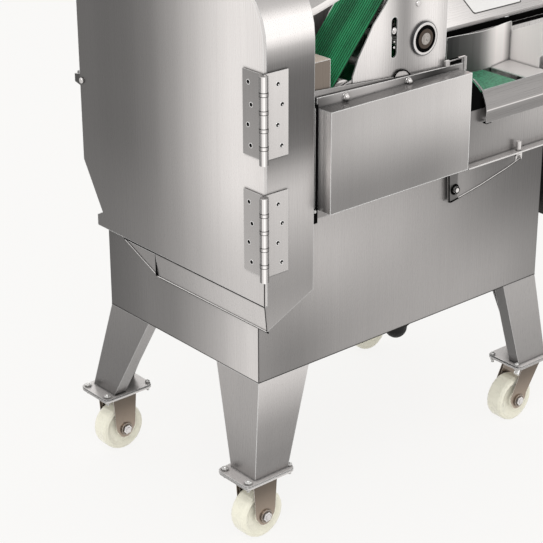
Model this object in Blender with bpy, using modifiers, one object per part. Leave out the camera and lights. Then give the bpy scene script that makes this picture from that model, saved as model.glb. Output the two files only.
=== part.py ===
"""A floor-standing vegetable cutting machine on four casters, modelled as its separate pieces.

Metres, +Z up, +X to the right along the machine, +Y to its rear. Heights are from the floor. Places are
counted from the left front corner of the base, and one empty moves that corner so that the machine's
bounding box stands centred on the origin.
"""

import math

import bmesh
import bpy
from mathutils import Matrix, Vector

# Clearances
SEAT_GAP = 0.0003
RUNNING_GAP = 0.0004
OVERLAP = 0.001
CUT_PAST = 0.01

# Casters
WHEEL_RADIUS = 0.040
WHEEL_WIDTH = 0.033
WHEEL_EDGE_RADIUS = 0.006
AXLE_RADIUS = 0.006
AXLE_HEAD_RADIUS = 0.0105
AXLE_HEAD_HEIGHT = 0.004
FORK_SHEET = 0.003
FORK_TIP_RADIUS = 0.014
FORK_ROOT_WIDTH = 0.044
FORK_SIDE_GAP = 0.0015
CASTER_PLATE_X = 0.095
CASTER_PLATE_Y = 0.073
CASTER_PLATE_SHEET = 0.003
CASTER_PLATE_CORNER = 0.008
SWIVEL_TRAIL = 0.028
SWIVEL_RACE_RADIUS = 0.024
SWIVEL_RACE_HEIGHT = 0.008
SWIVEL_PIN_RADIUS = 0.006
SWIVEL_CROWN_SHEET = 0.0035

# Legs and base
FOOT_HEIGHT = 0.114
LEG_SHEET = 0.003
LEG_TOP_WIDTH = 0.098
LEG_RIGHT_TOP_WIDTH = 0.076
LEG_FOOT_WIDTH_X = 0.065
LEG_FOOT_WIDTH_Y = 0.057
LEG_FLANGE = 0.022
LEG_FRONT_RAKE = 0.005
LEG_REAR_RAKE = 0.057
LEG_LEFT_SPLAY = 0.004
LEG_RIGHT_SPLAY = 0.046
BASE_LENGTH = 0.600
BASE_DEPTH = 0.365
BASE_BOTTOM = 0.279
BASE_HEIGHT = 0.230
BASE_SHEET = 0.002

# Hood and door
HOOD_LENGTH = 0.0867
HOOD_FRONT = -0.0235
HOOD_REAR = 0.4130
HOOD_TOP = 0.8890
HOOD_CORNER_RADIUS = 0.100
HOOD_SHEET = 0.002
HOOD_REAR_STEP = 0.515
STRIP_BOTTOM_LEFT = 0.3725
STRIP_BOTTOM_RIGHT = 0.4136
DOOR_SHEET = 0.005
DOOR_SKIN = 0.0016
DOOR_RIM = 0.016
DOOR_BOTTOM = 0.413
DOOR_FACE = -0.008
DOOR_TAB_LENGTH = 0.014
DOOR_TAB_HEIGHT = 0.019
DOOR_TAB_BOTTOM = 0.635
DOOR_SCREW_INSET = 0.0065
DOOR_SCREW_SHANK = 0.0025
DOOR_SCREW_HEAD = 0.0045
SKIRT_LENGTH = 0.2565
SKIRT_SHEET = 0.0015
GUSSET_END = 0.3135
SKIRT_SLOT = 0.0025

# Door hinges
HINGE_HEIGHT = 0.127
HINGE_LEAF = 0.0022
HINGE_BARREL_RADIUS = 0.0065
HINGE_PIN_RADIUS = 0.0028
HINGE_KNUCKLES = 5
HINGE_AXIS_X = -0.0130
HINGE_AXIS_Y = -0.0295
HINGE_DOOR_LEAF_END = 0.018
HINGE_HOOD_LEAF_END = 0.034
HINGE_BOTTOM = 0.455
HINGE_PITCH = 0.174
HINGE_LEAF_RISE = 0.0045

# Knife drive
KNIFE_AXIS_Y = 0.195
KNIFE_AXIS_Z = 0.669
KNIFE_RADIUS = 0.200
KNIFE_DISC_X = 0.045
KNIFE_DISC_SHEET = 0.004
KNIFE_HUB_RADIUS = 0.040
KNIFE_HUB_LENGTH = 0.022
KNIFE_BLADE_SHEET = 0.002
KNIFE_SHAFT_RADIUS = 0.012
KNIFE_BEARING_RADIUS = 0.042
KNIFE_BEARING_LENGTH = 0.026
KNIFE_PULLEY_RADIUS = 0.060
PULLEY_X = 0.132
PULLEY_WIDTH = 0.030
PULLEY_GROOVE = 0.022
PULLEY_FLANGE = 0.005
KNIFE_BELT_WIDTH = 0.020
KNIFE_BELT_THICKNESS = 0.007
MOTOR_PULLEY_RADIUS = 0.035
MOTOR_SHAFT_HEIGHT = 0.080
MOTOR_RADIUS = 0.070
MOTOR_LENGTH = 0.210
MOTOR_START_X = 0.165
MOTOR_SHAFT_RADIUS = 0.0095

# Discharge chute
CHUTE_LEFT = 0.010
CHUTE_RIGHT = 0.081
CHUTE_FRONT = 0.030
CHUTE_REAR = 0.345
CHUTE_SHEET = 0.0015
CHUTE_STAND = 0.004

# Feed conveyor
FEED_TOP = 0.633
FEED_FRONT = -0.006
FEED_REAR = 0.077
FEED_ROLLER_RADIUS = 0.022
FEED_BELT = 0.0025
FEED_DRIVE_X = 0.150
FEED_TAIL_X = 0.5175
FEED_SHAFT_RADIUS = 0.008
THROAT_PLATE_Y = -0.0125
FRAME_SHEET = 0.002
REAR_PLATE_Y = 0.0795
PANEL_Y = -0.0078
PANEL_SHEET = 0.0015
RIGHT_END = 0.740
FLANGE_Z = 0.520
MOUTH_LENGTH = 0.040
MOUTH_TOP = 0.748
MOUTH_ROOF = 0.700
MOUTH_BOTTOM = 0.600
MOUTH_WALL = 0.004
PLATE_END = 0.594
END_WALL_SHEET = 0.002
GUIDE_HEIGHT = 0.063
GUIDE_START = 0.448
GUIDE_SHEET = 0.0015
COVER_START = 0.440
COVER_SHEET = 0.0012
COVER_RIM = 0.003
END_HOUSING_START = 0.620
END_HOUSING_BOTTOM = 0.379
END_HOUSING_TOP = 0.600

# Feed drive behind the guard
GUARD_LEFT = 0.096
GUARD_RIGHT = 0.377
GUARD_BOTTOM = 0.532
GUARD_TOP = 0.684
GUARD_FRONT = -0.045
GUARD_SHEET = 0.0015
RAIL_Y = -0.017
RAIL_LEFT = 0.094
RAIL_RIGHT = 0.390
RAIL_BOTTOM = 0.530
RAIL_TOP_LEFT = 0.699
RAIL_TOP_RIGHT = 0.691
CHAIN_Y = -0.031
CHAIN_WIDTH = 0.006
CHAIN_THICKNESS = 0.004
FEED_SPROCKET_RADIUS = 0.028
PINION_RADIUS = 0.014
PINION_X = 0.300
PINION_Z = 0.553
PINION_SHAFT_RADIUS = 0.006
GEARMOTOR_RADIUS = 0.026

# Press conveyor
HUB_X = 0.307
HUB_Z = 0.7425
PRESS_PLATE_FRONT_Y = -0.0092
PRESS_PLATE_REAR_Y = 0.0825
PRESS_SHEET = 0.0024
PRESS_BELT = 0.0025
PRESS_NOSE_X = 0.1520
PRESS_NOSE_Z = 0.6905
PRESS_TOP_X = 0.2498
PRESS_TOP_Z = 0.8040
PRESS_ROLLER_RADIUS = 0.0195
PRESS_DRIVE_RADIUS = 0.024
PRESS_SHAFT_RADIUS = 0.009
PRESS_PIN_RADIUS = 0.005
PRESS_PLATE_TOP = 0.838
PRESS_PLATE_BOTTOM = 0.690
PRESS_PLATE_RIGHT = 0.356
BEARING_RADIUS = 0.025
BEARING_DEPTH = 0.0035
STAND_Y = 0.0895
STAND_SHEET = 0.008
PRESS_MOTOR_RADIUS = 0.030
PRESS_MOTOR_LENGTH = 0.090
STAY_RADIUS = 0.005

# Rear cabinet and console
CABINET_FRONT = 0.0955
CABINET_SHEET = 0.0015
CABINET_HIGH_TOP = 0.785
CABINET_LOW_TOP = 0.6985
CABINET_STEP_X = 0.3435
CONSOLE_START = 0.345
CONSOLE_FRONT = 0.095
CONSOLE_LIP = 0.006
CONSOLE_SLOPE = math.radians(36.0)
CONSOLE_SHELF = 0.050
CONSOLE_SHEET = 0.0015
CONTROL_ROW_DROP = 0.035
KNOB_X = 0.490
START_X = 0.560
STOP_X = 0.610
EMERGENCY_X = 0.680
KNOB_RADIUS = 0.015
KNOB_HEIGHT = 0.018
BUTTON_RADIUS = 0.011
BUTTON_HEIGHT = 0.008
EMERGENCY_RADIUS = 0.018
EMERGENCY_HEIGHT = 0.018
EMERGENCY_STEM = 0.011
EMERGENCY_TRAVEL = 0.004

# Small parts
BRACKET_SHEET = 0.003
BRACKET_Y = -0.005
WING_BOLT_X = 0.522
WING_BOLT_Y = -0.0168
WING_BOLT_RADIUS = 0.004
GLAND_X = 0.318
GLAND_Y = 0.040
GLAND_RADIUS = 0.0225
GLAND_LENGTH = 0.040

# Worked-out places
BASE_TOP = BASE_BOTTOM + BASE_HEIGHT
HOOD_LEFT = DOOR_FACE + DOOR_SHEET + SEAT_GAP
HOOD_RIGHT = HOOD_LEFT + HOOD_LENGTH
FEED_AXIS_Z = FEED_TOP - FEED_BELT - FEED_ROLLER_RADIUS
CASTER_TOP = FOOT_HEIGHT - LEG_SHEET - SEAT_GAP
CASTER_PLATE_BOTTOM = CASTER_TOP - CASTER_PLATE_SHEET
LEFT_CASTER_X = LEG_FOOT_WIDTH_X * 0.4 - LEG_LEFT_SPLAY
RIGHT_CASTER_X = BASE_LENGTH + LEG_RIGHT_SPLAY - LEG_FOOT_WIDTH_X * 0.4
FRONT_CASTER_Y = LEG_FRONT_RAKE + LEG_FOOT_WIDTH_Y / 2
REAR_CASTER_Y = BASE_DEPTH + LEG_REAR_RAKE - LEG_FOOT_WIDTH_Y / 2
LEFT_END = LEFT_CASTER_X - CASTER_PLATE_X / 2
REAR_END = REAR_CASTER_Y + CASTER_PLATE_Y / 2
CENTRE_X = (LEFT_END + RIGHT_END) / 2
CENTRE_Y = (GUARD_FRONT + REAR_END) / 2
CONSOLE_SLOPE_RUN = BASE_DEPTH - CONSOLE_FRONT - CONSOLE_SHELF
CONSOLE_SLOPE_RISE = CONSOLE_SLOPE_RUN * math.tan(CONSOLE_SLOPE)
CONTROL_ROW = CONSOLE_SLOPE_RUN - CONTROL_ROW_DROP


for old in list(bpy.data.objects):
    bpy.data.objects.remove(old, do_unlink=True)

parts = bpy.data.collections.new("vegetable_cutting_machine")
cutters = bpy.data.collections.new("cutters")
bpy.context.scene.collection.children.link(parts)
bpy.context.scene.collection.children.link(cutters)

machine = bpy.data.objects.new("machine_origin", None)
machine.location = (-CENTRE_X, -CENTRE_Y, 0)
parts.objects.link(machine)


# Materials

def make_material(name, color, roughness, metallic=0.0):
    material = bpy.data.materials.new(name)
    material.use_nodes = True
    shader = material.node_tree.nodes["Principled BSDF"]
    shader.inputs["Base Color"].default_value = (*color, 1)
    shader.inputs["Roughness"].default_value = roughness
    shader.inputs["Metallic"].default_value = metallic
    return material


BRUSHED = ((0.55, 0.54, 0.53), 0.32, 1.0)
BRIGHT = ((0.72, 0.72, 0.71), 0.18, 1.0)
DARK_STEEL = ((0.16, 0.16, 0.17), 0.45, 0.8)
PAINTED_MOTOR = ((0.16, 0.22, 0.30), 0.5, 0.0)
NYLON = ((0.83, 0.80, 0.70), 0.4, 0.0)
PRESS_GREEN = ((0.02, 0.20, 0.11), 0.45, 0.0)
FEED_GREEN = ((0.06, 0.30, 0.19), 0.7, 0.0)
BLACK_RUBBER = ((0.02, 0.02, 0.02), 0.7, 0.0)
RED_PLASTIC = ((0.60, 0.03, 0.03), 0.35, 0.0)
GREEN_PLASTIC = ((0.03, 0.40, 0.12), 0.35, 0.0)
BLACK_PLASTIC = ((0.03, 0.03, 0.03), 0.4, 0.0)


# Shape tools

def add_object(name, mesh, finish, location=(0, 0, 0)):
    """A named part under the machine's empty, with a material of its own."""
    piece = bpy.data.objects.new(name, mesh)
    parts.objects.link(piece)
    piece.parent = machine
    piece.location = location
    mesh.materials.append(make_material(name, *finish))
    return piece


def use_as_tool(piece):
    """Moves a piece to the cutters: it only serves a Boolean."""
    parts.objects.unlink(piece)
    cutters.objects.link(piece)
    piece.hide_render = True
    piece.display_type = "WIRE"


def add_boolean(piece, tool, operation, solver="EXACT"):
    use_as_tool(tool)
    boolean = piece.modifiers.new(operation.lower(), "BOOLEAN")
    boolean.operation = operation
    boolean.object = tool
    boolean.solver = solver


def cut(piece, *tools, solver="EXACT"):
    for tool in tools:
        add_boolean(piece, tool, "DIFFERENCE", solver)


def fuse(piece, *tools, solver="EXACT"):
    for tool in tools:
        add_boolean(piece, tool, "UNION", solver)


def box(name, low, high, finish=BRUSHED):
    """A box between two corners, with its origin at its centre."""
    low, high = Vector(low), Vector(high)
    mesh = bpy.data.meshes.new(name)
    shape = bmesh.new()
    bmesh.ops.create_cube(shape, size=1.0, matrix=Matrix.Diagonal((*(high - low), 1)))
    shape.to_mesh(mesh)
    shape.free()
    return add_object(name, mesh, finish, (low + high) / 2)


PLANES = {
    "XY": Matrix.Identity(4),
    "XZ": Matrix.Rotation(math.pi / 2, 4, "X"),
    "YZ": Matrix.Rotation(math.pi / 2, 4, "Z") @ Matrix.Rotation(math.pi / 2, 4, "X"),
}


def plate(name, outline, thickness, plane, centre, finish=BRUSHED, holes=()):
    """A flat outline with holes, made by filling a 2D curve and extruding it about its mid-plane."""
    curve = bpy.data.curves.new(name, "CURVE")
    curve.dimensions = "2D"
    curve.fill_mode = "BOTH"
    curve.extrude = thickness / 2
    for loop in (outline, *holes):
        spline = curve.splines.new("POLY")
        spline.points.add(len(loop) - 1)
        for point, (u, v) in zip(spline.points, loop):
            point.co = (u, v, 0, 1)
        spline.use_cyclic_u = True
    guide = bpy.data.objects.new(name + "_guide", curve)
    bpy.context.scene.collection.objects.link(guide)
    depsgraph = bpy.context.evaluated_depsgraph_get()
    mesh = bpy.data.meshes.new_from_object(guide.evaluated_get(depsgraph))
    bpy.data.objects.remove(guide, do_unlink=True)
    shape = bmesh.new()
    shape.from_mesh(mesh)
    bmesh.ops.remove_doubles(shape, verts=shape.verts, dist=0.00001)
    bmesh.ops.recalc_face_normals(shape, faces=shape.faces)
    shape.to_mesh(mesh)
    shape.free()
    mesh.materials.clear()
    mesh.transform(PLANES[plane])
    places = {"XY": (0, 0, centre), "XZ": (0, centre, 0), "YZ": (centre, 0, 0)}
    return add_object(name, mesh, finish, places[plane])


def tube(name, points, radius, finish=BRUSHED):
    """A round bar along a smooth curve through the given points, as a closed mesh."""
    curve = bpy.data.curves.new(name, "CURVE")
    curve.dimensions = "3D"
    curve.bevel_depth = radius
    curve.bevel_resolution = 2
    curve.use_fill_caps = True
    spline = curve.splines.new("NURBS")
    spline.points.add(len(points) - 1)
    for point, place in zip(spline.points, points):
        point.co = (*place, 1)
    spline.use_endpoint_u = True
    spline.order_u = 3
    spline.resolution_u = 4
    guide = bpy.data.objects.new(name + "_guide", curve)
    bpy.context.scene.collection.objects.link(guide)
    depsgraph = bpy.context.evaluated_depsgraph_get()
    mesh = bpy.data.meshes.new_from_object(guide.evaluated_get(depsgraph))
    bpy.data.objects.remove(guide, do_unlink=True)
    shape = bmesh.new()
    shape.from_mesh(mesh)
    bmesh.ops.remove_doubles(shape, verts=shape.verts, dist=0.00001)
    bmesh.ops.recalc_face_normals(shape, faces=shape.faces)
    shape.to_mesh(mesh)
    shape.free()
    mesh.materials.clear()
    mesh.shade_smooth()
    mesh.set_sharp_from_angle(angle=math.radians(40))
    return add_object(name, mesh, finish)


TURN_AXES = {"X": (0, math.pi / 2, 0), "Y": (-math.pi / 2, 0, 0), "Z": (0, 0, 0)}


def turned(name, profile, axis, location, finish=BRUSHED, segments=24, hollow=False):
    """A profile of (radius, height) turned about an axis. It starts at the top and runs down the outer side."""
    mesh = bpy.data.meshes.new(name)
    count = len(profile)
    edges = [(i, i + 1) for i in range(count - 1)]
    if hollow:
        edges.append((count - 1, 0))
    mesh.from_pydata([(r, 0, h) for r, h in profile], edges, [])
    piece = add_object(name, mesh, finish, location)
    piece.rotation_euler = TURN_AXES[axis]
    screw = piece.modifiers.new("turn", "SCREW")
    screw.steps = segments
    screw.render_steps = segments
    screw.use_merge_vertices = True
    screw.merge_threshold = 0.00001
    screw.use_smooth_shade = True
    return piece


def cylinder(name, radius, start, end, axis, across, finish=BRUSHED, segments=24):
    """A round bar along an axis from start to end; across holds its two other coordinates in X, Y, Z order."""
    half = (end - start) / 2
    middle = (start + end) / 2
    place = list(across)
    place.insert("XYZ".index(axis), middle)
    profile = [(0, half), (radius, half), (radius, -half), (0, -half)]
    return turned(name, profile, axis, place, finish, segments)


def ring_profile(outer, inner, half):
    """The closed profile of a plain ring, for a hollow turned piece."""
    return [(outer, half), (outer, -half), (inner, -half), (inner, half)]


def arc(centre, radius, start, end, steps):
    """Points on an arc, angles in degrees, both ends included."""
    angles = [math.radians(start + (end - start) * i / steps) for i in range(steps + 1)]
    return [(centre[0] + radius * math.cos(a), centre[1] + radius * math.sin(a)) for a in angles]


def circle(centre, radius, steps=24):
    return arc(centre, radius, 0, 360 - 360 / steps, steps - 1)


def rectangle(left, bottom, right, top):
    return [(left, bottom), (right, bottom), (right, top), (left, top)]


def rounded_rectangle(left, bottom, right, top, radius, steps=2):
    corners = (
        ((right - radius, bottom + radius), -90),
        ((right - radius, top - radius), 0),
        ((left + radius, top - radius), 90),
        ((left + radius, bottom + radius), 180),
    )
    return [p for centre, start in corners for p in arc(centre, radius, start, start + 90, steps)]


def offset_path(path, distance):
    """The path moved to its left by a distance, with mitred corners."""
    moved = []
    for i, point in enumerate(path):
        here = Vector(point)
        before = Vector(path[max(i - 1, 0)])
        after = Vector(path[min(i + 1, len(path) - 1)])
        first = (here - before).normalized() if i else (after - here).normalized()
        second = (after - here).normalized() if i < len(path) - 1 else first
        normal = Vector((-first.y - second.y, first.x + second.x)).normalized()
        mitre = distance / max(normal.dot(Vector((-first.y, first.x))), 0.3)
        moved.append(tuple(here + normal * mitre))
    return moved


def sheet_outline(path, thickness):
    """The closed outline of a folded sheet whose outer side is the path; its thickness lies to the left."""
    return list(path) + offset_path(path, thickness)[::-1]


def belt_loop(wheels, steps=12):
    """The closed line round wheels given anticlockwise as (centre, radius), arcs joined by tangents."""
    normals = []
    for i, (centre, radius) in enumerate(wheels):
        following, next_radius = wheels[(i + 1) % len(wheels)]
        run = Vector(following) - Vector(centre)
        along = run.normalized()
        lean = (radius - next_radius) / run.length
        side = Vector((along.y, -along.x))
        normals.append(along * lean + side * math.sqrt(1 - lean * lean))
    points = []
    for i, (centre, radius) in enumerate(wheels):
        start = math.atan2(normals[i - 1].y, normals[i - 1].x)
        end = math.atan2(normals[i].y, normals[i].x)
        while end < start:
            end += 2 * math.pi
        points += arc(centre, radius, math.degrees(start), math.degrees(end), steps)
    return points


def belt(name, wheels, thickness, width, plane, centre, finish, steps=12):
    """An endless belt or chain that runs round wheels, a seat gap clear of them."""
    inner = belt_loop([(c, r + SEAT_GAP) for c, r in wheels], steps)
    outer = belt_loop([(c, r + SEAT_GAP + thickness) for c, r in wheels], steps)
    return plate(name, outer, width, plane, centre, finish, holes=(inner,))


def loft(name, low_outline, low_z, high_outline, high_z, finish=BRUSHED):
    """A solid between two outlines of as many points at two heights."""
    mesh = bpy.data.meshes.new(name)
    shape = bmesh.new()
    low = [shape.verts.new((x, y, low_z)) for x, y in low_outline]
    high = [shape.verts.new((x, y, high_z)) for x, y in high_outline]
    count = len(low)
    shape.faces.new(low[::-1])
    shape.faces.new(high)
    for i in range(count):
        j = (i + 1) % count
        shape.faces.new((low[i], low[j], high[j], high[i]))
    bmesh.ops.recalc_face_normals(shape, faces=shape.faces)
    shape.to_mesh(mesh)
    shape.free()
    return add_object(name, mesh, finish)


def move_origin(piece, point):
    """Puts a piece's origin on its joint axis without moving its shape."""
    shift = Vector(point) - Vector(piece.location)
    piece.data.transform(Matrix.Translation(-shift))
    piece.location = point


# Casters

def caster_plate_outline(x, y):
    half_x, half_y = CASTER_PLATE_X / 2, CASTER_PLATE_Y / 2
    return rounded_rectangle(x - half_x, y - half_y, x + half_x, y + half_y, CASTER_PLATE_CORNER)


def fork_cheek_outline(x, axle_x, top):
    """A fork cheek seen from the front: wide at its root and rounded round the axle."""
    root = FORK_ROOT_WIDTH / 2
    tip = arc((axle_x, WHEEL_RADIUS), FORK_TIP_RADIUS, 180, 360, 8)
    return [(x + root, top), (x - root, top), *tip]


def add_fork(fork, name, x, y, axle_x, top):
    """Adds two cheeks and the axle bolt to a fork's top piece."""
    reach = WHEEL_WIDTH / 2 + FORK_SIDE_GAP + FORK_SHEET / 2
    for side, sign in (("front", -1), ("rear", 1)):
        outline = fork_cheek_outline(x, axle_x, top)
        fuse(fork, plate(f"{name}_{side}_cheek", outline, FORK_SHEET, "XZ", y + sign * reach))
    head = reach + FORK_SHEET / 2 + AXLE_HEAD_HEIGHT
    step = reach + FORK_SHEET / 4
    profile = [(0, head), (AXLE_HEAD_RADIUS, head), (AXLE_HEAD_RADIUS, step), (AXLE_RADIUS, step)]
    profile += [(r, -h) for r, h in profile[::-1]]
    fuse(fork, turned(name + "_axle", profile, "Y", (axle_x, y, WHEEL_RADIUS), segments=16))


def make_rigid_caster(corner, x, y):
    fork = plate(f"caster_fork_{corner}", caster_plate_outline(x, y), CASTER_PLATE_SHEET, "XY",
                 CASTER_TOP - CASTER_PLATE_SHEET / 2)
    add_fork(fork, f"fork_{corner}", x, y, x, CASTER_PLATE_BOTTOM + OVERLAP)
    make_wheel(corner, x, y)


def make_swivel_caster(corner, x, y):
    """The top plate carries the race and kingpin; the fork hangs on the pin's head and trails."""
    top = plate(f"swivel_plate_{corner}", caster_plate_outline(x, y), CASTER_PLATE_SHEET, "XY",
                CASTER_TOP - CASTER_PLATE_SHEET / 2)
    race_bottom = CASTER_PLATE_BOTTOM - SWIVEL_RACE_HEIGHT
    crown_top = race_bottom - RUNNING_GAP
    crown_bottom = crown_top - SWIVEL_CROWN_SHEET
    head_top = crown_bottom - RUNNING_GAP
    head_bottom = head_top - 0.004
    pin = turned(f"kingpin_{corner}", [
        (0, CASTER_PLATE_BOTTOM + OVERLAP),
        (SWIVEL_RACE_RADIUS, CASTER_PLATE_BOTTOM + OVERLAP),
        (SWIVEL_RACE_RADIUS, race_bottom),
        (SWIVEL_PIN_RADIUS, race_bottom),
        (SWIVEL_PIN_RADIUS, head_top),
        (SWIVEL_PIN_RADIUS * 1.6, head_top),
        (SWIVEL_PIN_RADIUS * 1.6, head_bottom),
        (0, head_bottom),
    ], "Z", (x, y, 0), segments=24)
    fuse(top, pin)
    axle_x = x - SWIVEL_TRAIL
    reach = WHEEL_WIDTH / 2 + FORK_SIDE_GAP + FORK_SHEET
    root = FORK_ROOT_WIDTH / 2
    fork = plate(f"swivel_fork_{corner}",
                 rounded_rectangle(x - root - 0.002, y - reach, x + root + 0.002, y + reach, 0.004),
                 SWIVEL_CROWN_SHEET, "XY", (crown_top + crown_bottom) / 2,
                 holes=(circle((x, y), SWIVEL_PIN_RADIUS + RUNNING_GAP, 24),))
    add_fork(fork, f"swivel_{corner}", x, y, axle_x, crown_bottom + OVERLAP)
    move_origin(fork, (x, y, crown_top))
    make_wheel(corner, axle_x, y)


def make_wheel(corner, x, y):
    half = WHEEL_WIDTH / 2
    bore = AXLE_RADIUS + RUNNING_GAP
    edge = [(WHEEL_RADIUS - WHEEL_EDGE_RADIUS + WHEEL_EDGE_RADIUS * math.sin(a),
             half - WHEEL_EDGE_RADIUS + WHEEL_EDGE_RADIUS * math.cos(a))
            for a in (math.radians(d) for d in (0, 45, 90))]
    side = [(0.0125, half), (0.0150, half - 0.003), (0.0270, half - 0.003)]
    upper = [(bore, half), *side, *edge]
    profile = upper + [(r, -h) for r, h in upper[::-1]]
    turned(f"caster_wheel_{corner}", profile, "Y", (x, y, WHEEL_RADIUS), NYLON, 24, hollow=True)


def make_casters():
    for row, y in (("front", FRONT_CASTER_Y), ("rear", REAR_CASTER_Y)):
        make_rigid_caster(f"{row}_left", LEFT_CASTER_X, y)
        make_swivel_caster(f"{row}_right", RIGHT_CASTER_X, y)


# Legs

def leg_path(corner_x, corner_y, width_x, width_y, inward_x, inward_y):
    """A leg's folded section: a flange, two faces that meet at the outer corner, and a flange."""
    path = [
        (corner_x + inward_x * LEG_FLANGE, corner_y + inward_y * width_y),
        (corner_x, corner_y + inward_y * width_y),
        (corner_x, corner_y),
        (corner_x + inward_x * width_x, corner_y),
        (corner_x + inward_x * width_x, corner_y + inward_y * LEG_FLANGE),
    ]
    return path if inward_x * inward_y > 0 else path[::-1]


def make_leg(name, inward_x, inward_y):
    """A tapered leg folded from sheet, with its welded foot plate."""
    top_x = 0 if inward_x > 0 else BASE_LENGTH
    foot_x = -LEG_LEFT_SPLAY if inward_x > 0 else BASE_LENGTH + LEG_RIGHT_SPLAY
    top_width = LEG_TOP_WIDTH if inward_x > 0 else LEG_RIGHT_TOP_WIDTH
    top_y = 0 if inward_y > 0 else BASE_DEPTH
    foot_y = LEG_FRONT_RAKE if inward_y > 0 else BASE_DEPTH + LEG_REAR_RAKE
    foot = leg_path(foot_x, foot_y, LEG_FOOT_WIDTH_X, LEG_FOOT_WIDTH_Y, inward_x, inward_y)
    top = leg_path(top_x, top_y, top_width, LEG_TOP_WIDTH, inward_x, inward_y)
    leg = loft(name, sheet_outline(foot, LEG_SHEET), FOOT_HEIGHT - LEG_SHEET / 2,
               sheet_outline(top, LEG_SHEET), BASE_BOTTOM - SEAT_GAP)
    caster_x = LEFT_CASTER_X if inward_x > 0 else RIGHT_CASTER_X
    caster_y = FRONT_CASTER_Y if inward_y > 0 else REAR_CASTER_Y
    fuse(leg, plate(name + "_foot", caster_plate_outline(caster_x, caster_y), LEG_SHEET, "XY",
                    FOOT_HEIGHT - LEG_SHEET / 2))


def make_legs():
    make_leg("leg_front_left", 1, 1)
    make_leg("leg_front_right", -1, 1)
    make_leg("leg_rear_left", 1, -1)
    make_leg("leg_rear_right", -1, -1)


# Base

def make_base():
    base = box("base_box", (0, 0, BASE_BOTTOM), (BASE_LENGTH, BASE_DEPTH, BASE_TOP))
    wall = BASE_SHEET
    inside = box("base_inside", (wall, wall, BASE_BOTTOM + wall),
                 (BASE_LENGTH - wall, BASE_DEPTH - wall, BASE_TOP - wall))
    drop = box("base_drop", (CHUTE_LEFT - SEAT_GAP, CHUTE_FRONT - SEAT_GAP, BASE_BOTTOM - CUT_PAST),
               (CHUTE_RIGHT + SEAT_GAP, CHUTE_REAR + SEAT_GAP, BASE_TOP + CUT_PAST))
    slot_half = KNIFE_PULLEY_RADIUS + KNIFE_BELT_THICKNESS
    slot = box("belt_slot", (PULLEY_X - PULLEY_WIDTH / 2 - 0.004, KNIFE_AXIS_Y - slot_half, BASE_TOP - CUT_PAST),
               (PULLEY_X + PULLEY_WIDTH / 2 + 0.004, KNIFE_AXIS_Y + slot_half, BASE_TOP + CUT_PAST))
    cut(base, inside, drop, slot)


def make_chute():
    low = (CHUTE_LEFT, CHUTE_FRONT, BASE_BOTTOM)
    high = (CHUTE_RIGHT, CHUTE_REAR, BASE_TOP + CHUTE_STAND)
    chute = box("discharge_chute", low, high)
    hollow = box("chute_hollow",
                 (CHUTE_LEFT + CHUTE_SHEET, CHUTE_FRONT + CHUTE_SHEET, BASE_BOTTOM - CUT_PAST),
                 (CHUTE_RIGHT - CHUTE_SHEET, CHUTE_REAR - CHUTE_SHEET, BASE_TOP + CUT_PAST))
    cut(chute, hollow)


def make_gland():
    dome = arc((0, 0), GLAND_RADIUS * 0.8, 0, 80, 5)
    profile = [(0, 0), (GLAND_RADIUS, 0), (GLAND_RADIUS, -GLAND_LENGTH * 0.35),
               (GLAND_RADIUS * 0.85, -GLAND_LENGTH * 0.40)]
    profile += [(x, -GLAND_LENGTH + GLAND_RADIUS * 0.8 - z) for x, z in dome]
    profile.append((0, -GLAND_LENGTH))
    turned("cable_gland", profile, "Z", (GLAND_X, GLAND_Y, BASE_BOTTOM - SEAT_GAP), BLACK_PLASTIC, 24)


# Hood and door

def hood_curve():
    """The hood's front, top and rear seen from the left, from the front bottom upwards, over and down."""
    radius = HOOD_CORNER_RADIUS
    return [
        *arc((HOOD_FRONT + radius, HOOD_TOP - radius), radius, 180, 90, 8),
        *arc((HOOD_REAR - radius, HOOD_TOP - radius), radius, 90, 0, 8),
    ]


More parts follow.
